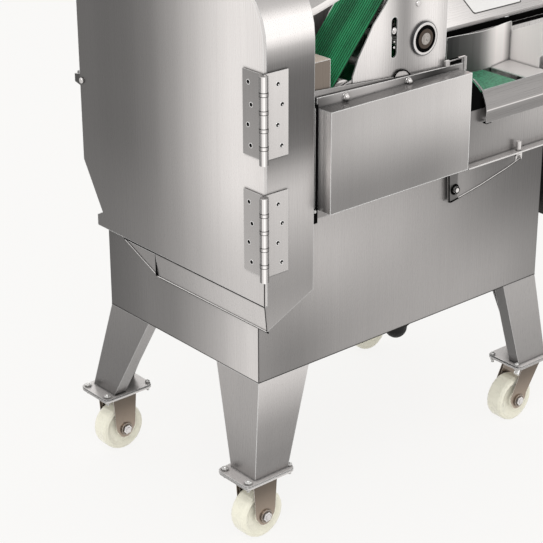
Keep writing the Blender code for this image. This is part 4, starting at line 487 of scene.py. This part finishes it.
# A painted highlight along the caster forks' tops from 107 mm up; FORK_TINT paints a warm reflection on the forks.
FORK = [(26, 0.24), (70, 0.17), (104, 0.14), (107, 0.60), (111, 0.60)]
FORK_TINT = (1.22, 1.0, 0.82)
for corner in ("front_left", "rear_left"):
    dress(f"caster_fork_{corner}", steel(f"fork_{corner}_steel", 0.30, ("Z", FORK), 0.78, roughness=0.2,
                                         tint=FORK_TINT, edge=0.7, edge_tone=0.8, plain_above=106.0))
for corner in ("front_right", "rear_right"):
    dress(f"swivel_fork_{corner}", steel(f"fork_{corner}_steel", 0.30, 0.22, 0.7, roughness=0.2, tint=FORK_TINT,
                                         edge=0.7, edge_tone=0.8))
    dress(f"swivel_plate_{corner}", steel(f"plate_{corner}_steel", 0.4, 0.4, 0.78, roughness=0.2, edge=0.7))
for node in ("knife_shaft", "knife_disc", "feed_drive_roller", "feed_tail_roller", "press_drive_roller",
             "press_nose_roller", "press_top_roller", "door_screw", "wing_bolt"):
    dress(node, BRIGHT)
blade_steel = steel("ground_blade_steel", 0.8, 0.8, 0.8, grain="Y", roughness=0.12, brush=0.06)
dress("knife_blade_a", blade_steel)
dress("knife_blade_b", blade_steel)
dark_steel = plain("dark_machined_steel", (0.10, 0.10, 0.105), 0.35, metallic=0.8)
for node in ("press_bearing", "motor_pulley", "feed_pinion", "feed_chain"):
    dress(node, dark_steel)
motor_enamel = plain("motor_enamel", (0.10, 0.15, 0.22), 0.4, coat=0.2)
dress("knife_motor", motor_enamel)
dress("feed_gearmotor", dark_steel)
dress("knife_belt", plain("belt_rubber", (0.018, 0.018, 0.018), 0.65))
gland_plastic = plain("gland_plastic", (0.005, 0.005, 0.005), 0.50, specular=0.25)
dress("cable_gland", gland_plastic)
dress("speed_knob", gland_plastic)
dress("start_button", plain("green_plastic", (0.02, 0.32, 0.09), 0.25, coat=0.4, speckle=0.03))
red_plastic = plain("red_plastic", (0.55, 0.02, 0.02), 0.25, coat=0.4, speckle=0.03)
dress("stop_button", red_plastic)
dress("emergency_button", red_plastic)
nylon = plain("cream_nylon", (0.86, 0.84, 0.71), 0.28, coat=0.25, speckle=0.02, scale=90.0)
for corner in ("front_left", "front_right", "rear_left", "rear_right"):
    dress(f"caster_wheel_{corner}", nylon)


# Belts

FEED_GREEN = (0.055, 0.250, 0.140)
PRESS_GREEN = (0.020, 0.235, 0.092)


def rough_belt():
    """A rough-top rubber belt: a small crossed relief that catches the light, painted lighter on its high points."""
    material, tree = new_material("rough_top_belt")
    point = tree.add("TexCoord").outputs["Object"]
    grain = noise(tree, point, 300.0, 4.0, 0.65)
    coarse = noise(tree, point, 60.0, 2.0)
    height = tree.math("ADD", grain, tree.math("MULTIPLY", coarse, 0.4))
    # Painted highlight: the colour is lighter where the grain that raises the relief is high.
    gain = tree.math("ADD", tree.ramp(grain, 0.36, 0.64, 0.35, 1.55),
                     tree.ramp(coarse, NOISE_LOW, NOISE_HIGH, -0.10, 0.10))
    shader = tree.add("BsdfPrincipled", {
        "Base Color": tree.mix(1.0, FEED_GREEN, gain, "MULTIPLY"), "Roughness": 0.55,
        "Normal": tree.add("Bump", {"Height": height, "Strength": 0.6, "Distance": 0.0008})})
    tree.add("OutputMaterial", {"Surface": shader})
    return material


BELT_EDGES = (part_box("press_belt")[0][1] + 0.0002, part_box("press_belt")[1][1] - 0.0002)
BELT_RIBS = 19
BELT_PITCH = (BELT_EDGES[1] - BELT_EDGES[0]) / BELT_RIBS


def ribbed_belt():
    """Green moulded ribs, with painted shade darkening the valleys between them."""
    material, tree = new_material("ribbed_belt")
    point = tree.add("TexCoord").outputs["Object"]
    grain = noise(tree, point, 500.0, 3.0)
    long_change = noise(tree, tree.add("Mapping", {"Vector": point, "Scale": (9.0, 38.0, 9.0)}), 1.0, 2.0)
    gain = tree.math("ADD", tree.ramp(grain, NOISE_LOW, NOISE_HIGH, 0.85, 1.15),
                     tree.ramp(long_change, 0.35, 0.65, -0.38, 0.45))
    across = tree.add("SeparateXYZ", {"Vector": point}).outputs[1]
    share = tree.math("FRACT", tree.math("DIVIDE", tree.math("SUBTRACT", across, BELT_EDGES[0]), BELT_PITCH))
    off_crest = tree.math("ABSOLUTE", tree.math("SUBTRACT", share, 0.5))
    # Painted shade: the colour darkens away from each rib's crest.
    color = tree.mix(1.0, tree.mix(1.0, PRESS_GREEN, gain, "MULTIPLY"), tree.ramp(off_crest, 0.22, 0.42, 1.0, 0.12),
                     "MULTIPLY")
    shader = tree.add("BsdfPrincipled", {
        "Base Color": color, "Roughness": 0.55, "Specular IOR Level": 0.2,
        "Normal": tree.add("Bump", {"Height": grain, "Strength": 0.15, "Distance": 0.0003})})
    tree.add("OutputMaterial", {"Surface": shader})
    return material


dress("feed_belt", rough_belt())
ribbed = ribbed_belt()


# Small parts

# Painted shade: the first black stands in for the shade in gaps, slots, holes and openings; the second darkens the
# base's folds.
SHADE_BLACK = plain("painted_shade_black", (0.004, 0.004, 0.004), 0.9, specular=0.0)
FOLD_SHADE = plain("painted_fold_shade", (0.035, 0.032, 0.031), 0.6, specular=0.1)
HUB_BROWN = steel("hub_face", 0.05, 0.055, 0.08, tint=(1.35, 1.0, 0.78), roughness=0.4)
HUB_CAP = steel("hub_cap_steel", 0.30, 0.42, 0.55, tint=(1.08, 1.0, 0.94), mottle=0.30, brush=0.08, roughness=0.25)
# Bearing rings with the painted highlight of a turned bar.
BARREL_RING = steel("hinge_bearing_ring", 0.5, 0.5, 0.8, barrel=(*HINGE_AXIS, HINGE_RADIUS + 0.5), crease_shade=0.8)
# Fork cheeks: tones darkening towards the top are painted shade, and the brown tint is a painted warm reflection.
CHEEK = steel("fork_cheek_steel", 0.50, ("Z", [(24, 0.34), (45, 0.28), (75, 0.17), (98, 0.11)]), 0.8,
              roughness=0.2, tint=(1.24, 1.0, 0.80), edge=0.8, edge_tone=0.62, crease_shade=0.3)
# Painted light and shade along the rail's end block.
BLOCK_STEEL = steel("rail_block_steel", 0.30, ("X", [(348, 0.60), (368, 0.30), (384, 0.22), (392, 0.48)]), 0.85,
                    edge=0.5, edge_tone=1.0)
TAB_STEEL = steel("throat_tab_steel", 0.4, 0.62, 0.8, edge=0.4)
PLATE_WHITE = plain("bare_plate_face", (0.80, 0.79, 0.78), 0.35, metallic=0.1, speckle=0.02)

DOOR_LEAF_FACE = -10.5
HOOD_LEAF_FACE = -26.0
HINGE_STEP = 174
KNUCKLE_START = 455
KNUCKLE_LENGTH = 25.4
DOOR_HOLES = [(6, 565), (0, 534), (7, 504), (1.5, 475)]
HOOD_HOLES = [(15.5, 564), (23, 534), (15, 506), (22, 475)]
# A hole is drawn as a rim of painted highlight round a black floor of painted shade, with a small painted glint.
HOLE_RIM = [(2.9, 0.10), (3.3, 0.32), (3.7, 0.32), (4.0, 0.0), (2.9, 0.0)]
HOLE_FLOOR = [(0, 0.06), (3.0, 0.06), (3.0, 0), (0, 0)]
HOLE_GLINT = Vector((0.5, -0.5, -1.0)) * MM


def band(inner, outer, half):
    """The profile of a collar that reaches half its height either way."""
    return [(inner, half), (outer, half), (outer, -half), (inner, -half)]


def dress_hinges():
    """Countersunk holes in the leaves, drawn with a painted highlight, glint and shade, and the bearing rings
    between the knuckles, with grooves of painted shade.
    """
    for level, rise in (("lower", 0), ("upper", HINGE_STEP)):
        for side, body, holes in (("door", "door", DOOR_HOLES), ("hood", "frame", HOOD_HOLES)):
            rims, cores = bmesh.new(), bmesh.new()
            for across, z in holes:
                if side == "door":
                    spot, axis = place(DOOR_LEAF_FACE, across, z + rise), LEFT
                else:
                    spot, axis = place(across, HOOD_LEAF_FACE, z + rise), FRONT
                lathe(rims, HOLE_RIM, spot, axis, 20)
                lathe(cores, HOLE_FLOOR, spot, axis, 20)
                dome(rims, spot + HOLE_GLINT, axis, 1.2, 0.4, 10)
            add_mesh(f"hinge_{side}_holes_{level}", rims, BRIGHT, body)
            add_mesh(f"hinge_{side}_hole_depths_{level}", cores, SHADE_BLACK, body)
        rings, grooves = bmesh.new(), bmesh.new()
        for knuckle in range(1, 5):
            z = KNUCKLE_START + rise + KNUCKLE_LENGTH * knuckle
            lathe(rings, band(6.2, 6.75, 2.2), place(*HINGE_AXIS, z), UP, 32)
            for offset in (-2.6, 2.6):
                lathe(grooves, band(6.2, 6.64, 0.4), place(*HINGE_AXIS, z + offset), UP, 32)
        add_mesh(f"hinge_rings_{level}", rings, BARREL_RING, smooth=40)
        add_mesh(f"hinge_grooves_{level}", grooves, SHADE_BLACK, smooth=40)


FOOT_TOP = 114.02
PLATE_UNDER = 107.65
HEAD_HEIGHT = 4.18
OUTER_BOLT, OUTER_BOLT_RADIUS = 38.5, 6.0
INNER_BOLT, INNER_BOLT_RADIUS = 43.5, 3.9
BOLT_ROW = 27.5
NUT_STUD = [(0, 8.0), (2.4, 7.6), (2.4, 3.9), (0, 3.9)]
AXLE_HEIGHT = 40
AXLE_HALF = 25.0
AXLE_NUT = 3.2
FORK_FACE = 21.05
CHEEK_SHEET = 0.7
CHEEK_LEFT = [(-19.5, 48), (-18, 40), (-9.5, 27.5), (-4, 24.8)]
CHEEK_ROOT_HALF, CHEEK_ROOT_HEIGHT = 23, 98
# Each caster's plate middle (x, y), how far its axle trails behind it, and the body that its fork rides on.
CASTERS = {"front_left": (22, 33.5, 0, "frame"), "rear_left": (22, 393.5, 0, "frame"),
           "front_right": (620, 33.5, 28, "swivel_front_right"), "rear_right": (620, 393.5, 28, "swivel_rear_right")}


def dress_casters():
    """Bolts at the plates' corners, axle nuts, and the broad outer cheeks of the forks."""
    for corner, (x, y, trail, body) in CASTERS.items():
        heads, nuts = bmesh.new(), bmesh.new()
        outwards = 1 if trail else -1
        for reach, radius, spin in ((outwards * OUTER_BOLT, OUTER_BOLT_RADIUS, 0),
                                    (-outwards * INNER_BOLT, INNER_BOLT_RADIUS, 15)):
            for bolt_y in (y - BOLT_ROW, y + BOLT_ROW):
                hexagon(heads, place(x + reach, bolt_y, FOOT_TOP), UP, radius, 4.2, spin)
                dome(heads, place(x + reach, bolt_y, FOOT_TOP + HEAD_HEIGHT), UP, radius * 0.55, 1.6, 12)
                hexagon(nuts, place(x + reach, bolt_y, PLATE_UNDER), DOWN, radius, 4.0, 20)
                lathe(nuts, NUT_STUD, place(x + reach, bolt_y, PLATE_UNDER), DOWN, 12)
        add_mesh(f"caster_bolt_heads_{corner}", heads, ZINC)
        add_mesh(f"caster_nuts_{corner}", nuts, ZINC)
        axle_x = x - trail
        axles, cheeks = bmesh.new(), bmesh.new()
        outline = [(trail - CHEEK_ROOT_HALF, CHEEK_ROOT_HEIGHT), *CHEEK_LEFT,
                   *[(-across, z) for across, z in reversed(CHEEK_LEFT)],
                   (trail + CHEEK_ROOT_HALF, CHEEK_ROOT_HEIGHT)]
        for axis, sign in ((FRONT, -1), (BACK, 1)):
            hexagon(axles, place(axle_x, y + sign * AXLE_HALF, AXLE_HEIGHT), axis, 8.0, AXLE_NUT, 10)
            dome(axles, place(axle_x, y + sign * (AXLE_HALF + AXLE_NUT), AXLE_HEIGHT), axis, 4.2, 2.0, 14)
            ring = [place(axle_x + across, y + sign * FORK_FACE, z) for across, z in outline]
            prism(cheeks, ring, Vector((0, sign * CHEEK_SHEET * MM, 0)))
        add_mesh(f"axle_nuts_{corner}", axles, BRIGHT, body)
        add_mesh(f"fork_cheeks_{corner}", cheeks, CHEEK, body)


HOOD_LOWER_END = -23.0
SKIRT_END = 233.0
GUSSET_END = 313.0
DOOR_FOOT = 411.6
BASE_FOOT = 279.4


def dress_hood():
    """Painted shadow lines under the door and at the hood's corner, painted highlights along the skirt's hems,
    the slot beside it blackened with painted shade, and painted shade along the base's folds."""
    joint, seam, hem, slot = (bmesh.new() for _ in range(4))
    # Painted shadow: under the door's foot, on the base under the skirt's hem, and along the front edges of door and
    # skirt.
    slab(joint, (-8.5, HOOD_LOWER_END, DOOR_FOOT), (-6.6, GUSSET_END, 412.7))
    slab(joint, (-0.40, HOOD_LOWER_END, 368.2), (-0.02, SKIRT_END, 371.4))
    rod(joint, [(-8.1, -23.6, 413.5), (-8.1, -23.6, 455.5)], 0.7)
    rod(joint, [(-7.9, -23.6, 412.0), (-4.0, -23.6, 373.5)], 0.6)
    add_mesh("door_joint_shadow", joint, SHADE_BLACK)
    # Painted shade along the base's front corner and its bottom folds.
    rod(seam, [(-0.15, -0.15, BASE_FOOT + 0.2), (-0.15, -0.15, 371.5)], 0.65)
    rod(seam, [(599.8, -0.1, BASE_FOOT), (-0.1, -0.1, BASE_FOOT), (-0.1, 364.8, BASE_FOOT)], 0.55)
    add_mesh("base_fold_lines", seam, FOLD_SHADE)
    # Painted highlights along the skirt's hem and the gusset's sloping edge.
    rod(hem, [(-4.3, HOOD_LOWER_END, 373.3), (-4.3, SKIRT_END - 0.6, 373.3)], 0.9)
    rod(hem, [(-5.6, 236.2, 376.6), (-5.6, GUSSET_END - 0.4, 408.6)], 0.8)
    add_mesh("skirt_hem_highlight", hem, BRIGHT, smooth=40)
    # The slot's black is painted shade.
    slab(slot, (-6.4, SKIRT_END + 0.05, 374.0), (-1.0, 235.45, 411.5))
    add_mesh("skirt_slot", slot, SHADE_BLACK)


RAIL_FRONT = -18.0
RAIL_NUTS = [(147, 690), (271, 687)]
NUT_WASHER = [(0, 1.0), (6.0, 1.0), (6.3, 0.6), (6.3, 0), (0, 0)]


def dress_guard():
    """Painted shade in the gap between hood and guard, with its bar, the rail's dome nuts and its end block and
    slot.
    """
    gap_shade, bar, nuts, block, mouth = (bmesh.new() for _ in range(5))
    # A black sheet of painted shade in the gap between the hood and the guard.
    slab(gap_shade, (84.4, -18.6, 512.0), (95.7, -18.05, 690.0))
    add_mesh("guard_gap_shade", gap_shade, SHADE_BLACK)
    slab(bar, (89.0, -19.4, 536.0), (90.0, -18.65, 686.0), 0.3)
    dome(bar, place(90.1, -18.65, 531.0), FRONT, 3.0, 2.4, 12)
    add_mesh("guard_gap_bar", bar, ZINC)
    for x, z in RAIL_NUTS:
        lathe(nuts, NUT_WASHER, place(x, RAIL_FRONT - 0.02, z), FRONT, 20)
        hexagon(nuts, place(x, RAIL_FRONT - 1.0, z), FRONT, 5.4, 2.6, 8)
        dome(nuts, place(x, RAIL_FRONT - 3.5, z), FRONT, 4.1, 3.4, 16)
    add_mesh("rail_dome_nuts", nuts, BRIGHT, smooth=30)
    slab(block, (348.0, RAIL_FRONT, 691.3), (391.6, -13.9, 701.0), 0.5)
    slab(block, (386.0, RAIL_FRONT, 680.0), (391.9, -18.9, 700.5), 0.2)
    add_mesh("rail_end_block", block, BLOCK_STEEL)
    # Painted shade in the end block's slot.
    slab(mouth, (357.0, -18.5, 693.0), (381.0, -17.9, 698.4))
    slab(mouth, (357.0, -17.9, 700.8), (376.0, -14.4, 701.3))
    add_mesh("rail_end_slot", mouth, SHADE_BLACK)


PRESS_FACE = -10.4
SLOT_FLOOR = PRESS_FACE + 0.6
HUB = (307, 742.5)
BEARING_FRONT = -14.22
SHAFT_END = -15.25
HUB_SIDES = 48
TAB_OUTLINE = [(246.5, 696.0), (250.5, 701.6), (256.0, 704.0), (266.5, 703.2), (272.0, 700.8), (280.5, 692.5)]


def dress_press():
    """The press head's hub rings, adjusting slot, screws and small tab before its foot, outlined in painted shadow.
    """
    bright, dark, brown, cap, slotted, tab, rim = (bmesh.new() for _ in range(7))
    bearing, shaft = place(HUB[0], BEARING_FRONT, HUB[1]), place(HUB[0], SHAFT_END, HUB[1])
    lathe(bright, [(20.4, 0.5), (23.4, 0.5), (23.9, 0.1), (20.0, 0.1)], bearing, FRONT, HUB_SIDES)
    # A black ring of painted shade round the hub's end disc.
    lathe(dark, [(14.9, 0.10), (20.3, 0.10), (20.3, 0.02), (14.9, 0.02)], bearing, FRONT, HUB_SIDES)
    lathe(brown, [(0, 0.35), (13.6, 0.35), (14.6, 0.05), (0, 0.05)], shaft, FRONT, HUB_SIDES)
    dome(cap, place(HUB[0], -15.6, HUB[1]), FRONT, 9.0, 2.2, 24)
    dome(cap, place(HUB[0] + 1.5, -17.2, HUB[1]), FRONT, 3.4, 1.8, 12)
    add_mesh("hub_bright_ring", bright, BRIGHT, "press_head")
    add_mesh("hub_dark_ring", dark, SHADE_BLACK, "press_head")
    add_mesh("hub_end_disc", brown, HUB_BROWN, "press_drive")
    add_mesh("hub_end_cap", cap, HUB_CAP, "press_drive", smooth=40)
    slab(slotted, (242.0, SLOT_FLOOR, 726.5), (243.4, PRESS_FACE + 1.4, 757.0), 0.2)
    lathe(slotted, [(0, 1.0), (4.6, 1.0), (4.9, 0), (0, 0)], place(247.2, SLOT_FLOOR, 764.5), FRONT, 20)
    dome(slotted, place(247.2, PRESS_FACE - 0.4, 765.5), FRONT, 3.4, 1.6, 14)
    dome(slotted, place(293.8, PRESS_FACE - 0.02, 796.5), FRONT, 4.3, 2.6, 18)
    dome(slotted, place(248.4, SLOT_FLOOR, 739.5), FRONT, 1.8, 1.2, 12)
    dome(slotted, place(248.4, SLOT_FLOOR, 748.0), FRONT, 1.3, 1.0, 12)
    add_mesh("press_slot_fittings", slotted, BRIGHT, "press_head")
    prism(tab, [place(x, -13.3, z) for x, z in TAB_OUTLINE], Vector((0, 1.4 * MM, 0)))
    add_mesh("throat_tab", tab, TAB_STEEL)
    # A black outline of painted shadow round the tab.
    rod(rim, [(x, -13.4, z) for x, z in TAB_OUTLINE], 1.0)
    add_mesh("throat_tab_shade_outline", rim, SHADE_BLACK, smooth=60)


BRACKET_BOLT = (391, 485)
BRACKET_FACE = -6.5
BOLT_HEAD_FACE = -12.0
BRACKET_CORNER = [(376.4, 517.5), (379.3, 466.4), (383.0, 466.0), (398.8, 468.4)]
BRACKET_FOOT = [(399, 468.2), (450, 477.2), (510, 491.2), (540, 500.2), (547, 517)]
BRACKET_FOLD = [(399, 469.7), (450, 478.7), (510, 492.7), (539.5, 501.6), (545.7, 517)]
BOLT_SHADE_RING = [(5.4, 0.9), (8.4, 0.9), (8.8, 0.3), (8.8, 0.02), (5.4, 0.02)]
BOLT_RING = [(3.9, 0.3), (5.4, 0.3), (5.4, 0.05), (3.9, 0.05)]
COVER_END = [(399, 606), (449, 606), (440.5, 628), (429, 642), (418, 653), (399, 653)]


def at_depth(points, y):
    """Points of (x, z) set at one depth."""
    return [(x, y, z) for x, z in points]


def dress_conveyor():
    """The bracket's bolt, with painted shade round it and along the bracket's edges and a painted highlight on its
    fold; a painted highlight on the flange's edge; painted shade on the cover's end; and the console's lip, with
    painted shade in the gaps under the console."""
    shade_rims, fold, cap, edge_highlight, dark, lip = (bmesh.new() for _ in range(6))
    x, z = BRACKET_BOLT
    # Painted shade round the bolt and along the bracket's corner and foot.
    lathe(shade_rims, BOLT_SHADE_RING, place(x, BRACKET_FACE, z), FRONT, 28)
    lathe(shade_rims, BOLT_RING, place(x, BOLT_HEAD_FACE, z), FRONT, 28)
    rod(shade_rims, at_depth(BRACKET_CORNER, -6.8), 1.1)
    rod(shade_rims, at_depth(BRACKET_FOOT, -6.6), 0.7)
    add_mesh("bracket_dark_rim", shade_rims, SHADE_BLACK)
    # Painted highlight along the bracket's fold.
    rod(fold, at_depth(BRACKET_FOLD, -6.9), 0.8)
    add_mesh("bracket_fold_highlight", fold, BRIGHT, smooth=40)
    dome(cap, place(x, BOLT_HEAD_FACE, z), FRONT, 3.8, 1.6, 20)
    add_mesh("bracket_bolt_cap", cap, BRIGHT)
    # Painted highlight along the flange's front edge.
    slab(edge_highlight, (402.5, -24.0, 518.9), (739.5, -23.52, 521.4), 0.15)
    add_mesh("flange_edge_highlight", edge_highlight, BRIGHT)
    # Painted shade: the notch at the cover's end, the gap under the console, strips along the rear plate and the
    # guide's top, and the cover's end.
    slab(dark, (441.0, -19.4, 582.8), (453.0, -12.0, 584.3))
    slab(dark, (346.0, 93.4, 655.0), (739.0, 94.2, 698.2))
    slab(dark, (598.6, 78.28, 687.5), (739.6, 78.45, 693.9))
    slab(dark, (441.0, 79.2, 694.02), (739.6, 82.4, 694.2))
    prism(dark, [place(*point) for point in at_depth(COVER_END, -8.9)], Vector((0, 0.8 * MM, 0)))
    slab(lip, (608.0, 94.3, 693.8), (739.8, 94.95, 700.0), 0.2)
    add_mesh("console_lip", lip, nodes["console_box"].data.materials[0])
    add_mesh("conveyor_painted_shade", dark, SHADE_BLACK)


PANEL_ANGLE = math.radians(36.0)
PANEL_FOOT = (95, 704.8)
PLATE_CORNER = (537.5, 12.5)
PLATE_SIZE = (112, 66)
PLATE_RADIUS = 4.0


def on_panel(x, run, lift):
    """A point on the console's slope, run back from its lower edge and lift off it, all in machine mm."""
    return place(x, PANEL_FOOT[0] + run * math.cos(PANEL_ANGLE) - lift * math.sin(PANEL_ANGLE),
                 PANEL_FOOT[1] + run * math.sin(PANEL_ANGLE) + lift * math.cos(PANEL_ANGLE))


def dress_console():
    """The bare plate on the console's slope, with a dark rim of painted shade."""
    for name, inset, lift, material in (("console_plate_rim", 0.0, 0.05, SHADOW_STEEL),
                                        ("console_plate", 1.3, 0.45, PLATE_WHITE)):
        shape = bmesh.new()
        ring = [on_panel(PLATE_CORNER[0] + inset + x, PLATE_CORNER[1] + inset + run, lift)
                for x, run in rounded(PLATE_SIZE[0] - 2 * inset, PLATE_SIZE[1] - 2 * inset, PLATE_RADIUS)]
        prism(shape, ring, on_panel(0, 0, 0.5) - on_panel(0, 0, 0))
        add_mesh(name, shape, material)


# The press head's rollers, as ((x, z), radius).
BELT_WHEELS = [((152.0, 690.5), 19.5), ((307.0, 742.5), 24.0), ((249.8, 804.0), 19.5)]
RIB_SECTION = [(0.04, 1.3), (0.24, 2.45), (0.76, 2.45), (0.96, 1.3)]
RIB_EDGE = 0.4
WHEEL_STEPS = 60


def belt_hull():
    """The belt's run round its rollers: (wheel, angle) pairs of the hull, in order."""
    points = []
    for wheel, ((x, z), radius) in enumerate(BELT_WHEELS):
        for i in range(WHEEL_STEPS):
            angle = 2 * math.pi * i / WHEEL_STEPS
            points.append((x + radius * math.cos(angle), z + radius * math.sin(angle), wheel, angle))
    points.sort()
    hull = []
    for run in (points, points[::-1]):
        side = []
        for point in run:
            while len(side) > 1 and ((side[-1][0] - side[-2][0]) * (point[1] - side[-2][1])
                                     - (side[-1][1] - side[-2][1]) * (point[0] - side[-2][0])) <= 0:
                side.pop()
            side.append(point)
        hull += side[:-1]
    return [(wheel, angle) for _, _, wheel, angle in hull]


def make_ribbed_belt():
    """The press belt with its moulded ribs, which run along it."""
    low, high = BELT_EDGES
    section = [(low, RIB_EDGE)]
    for i in range(BELT_RIBS):
        start = low + i * BELT_PITCH
        section += [(start + BELT_PITCH * share, off) for share, off in RIB_SECTION]
    section.append((high, RIB_EDGE))
    shape = bmesh.new()
    rings = []
    for wheel, angle in belt_hull():
        (x, z), radius = BELT_WHEELS[wheel]
        ring = []
        for y, off in section:
            spot = place(x + (radius + off) * math.cos(angle), 0, z + (radius + off) * math.sin(angle))
            ring.append(shape.verts.new((spot.x, y, spot.z)))
        rings.append(ring)
    for i, ring in enumerate(rings):
        after = rings[(i + 1) % len(rings)]
        for j in range(len(ring)):
            k = (j + 1) % len(ring)
            shape.faces.new([ring[j], ring[k], after[k], after[j]])
    bmesh.ops.recalc_face_normals(shape, faces=shape.faces)
    belt = add_mesh("ribbed_press_belt", shape, ribbed, "press_head", smooth=25)
    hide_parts("press_belt")


GLAND_PLACE = (318, 40)
GLAND_RIBS = (276.0, 272.5, 269.0)


def dress_gland():
    """The grip ribs round the gland's nut."""
    ribs = bmesh.new()
    for z in GLAND_RIBS:
        lathe(ribs, [(21.0, 1.0), (22.9, 0.6), (22.9, -0.6), (21.0, -1.0)], place(*GLAND_PLACE, z), UP, 32)
    add_mesh("gland_ribs", ribs, gland_plastic)


dress_hinges()
dress_casters()
dress_hood()
dress_guard()
dress_press()
dress_conveyor()
dress_console()
make_ribbed_belt()
dress_gland()


# Studio

BACKGROUND = (0.955, 0.948, 0.935)
FLOOR_HALF = 8.0
FLOOR_GLOW = 0.90
KEY_PLACE = (-1.6, -1.4, 2.6)
KEY_AIM = (0, 0, 0.5)
KEY_SIZE = (1.6, 1.2)
KEY_POWER = 18


def make_studio():
    """A pale world and a floor that the camera and the reflections see as part of it."""
    world = bpy.data.worlds.new("studio")
    bpy.context.scene.world = world
    world.use_nodes = True
    tree = Tree(world)
    tree.add("OutputWorld", {"Surface": tree.add("Background", {"Color": BACKGROUND, "Strength": 1.0})})
    shape = bmesh.new()
    bmesh.ops.create_grid(shape, x_segments=1, y_segments=1, size=FLOOR_HALF)
    mesh = bpy.data.meshes.new("floor")
    shape.to_mesh(mesh)
    shape.free()
    floor = bpy.data.objects.new("floor", mesh)
    bpy.context.scene.collection.objects.link(floor)
    material, tree = new_material("floor_paint")
    seen = tree.add("LightPath")
    direct = tree.math("MAXIMUM", seen.outputs["Is Camera Ray"], seen.outputs["Is Glossy Ray"])
    direct = tree.math("MAXIMUM", direct, seen.outputs["Is Transmission Ray"])
    paint = tree.add("BsdfDiffuse", {"Color": BACKGROUND})
    glow = tree.add("Emission", {"Color": BACKGROUND, "Strength": 1.0})
    mixed = tree.add("MixShader", {0: tree.math("MULTIPLY", direct, FLOOR_GLOW), 1: paint, 2: glow})
    tree.add("OutputMaterial", {"Surface": mixed})
    mesh.materials.append(material)


def softbox(name, where, towards, size, power):
    """A rectangular lamp. Its place, aim and size are in metres, in the frame."""
    light = bpy.data.objects.new(name, bpy.data.lights.new(name, "AREA"))
    light.data.shape = "RECTANGLE"
    light.data.size, light.data.size_y = size
    light.data.energy = power
    light.location = Vector(where)
    light.rotation_euler = (Vector(towards) - Vector(where)).to_track_quat("-Z", "Y").to_euler()
    bpy.context.scene.collection.objects.link(light)


make_studio()
softbox("key_light", KEY_PLACE, KEY_AIM, KEY_SIZE, KEY_POWER)

bpy.context.scene.view_settings.view_transform = "Standard"
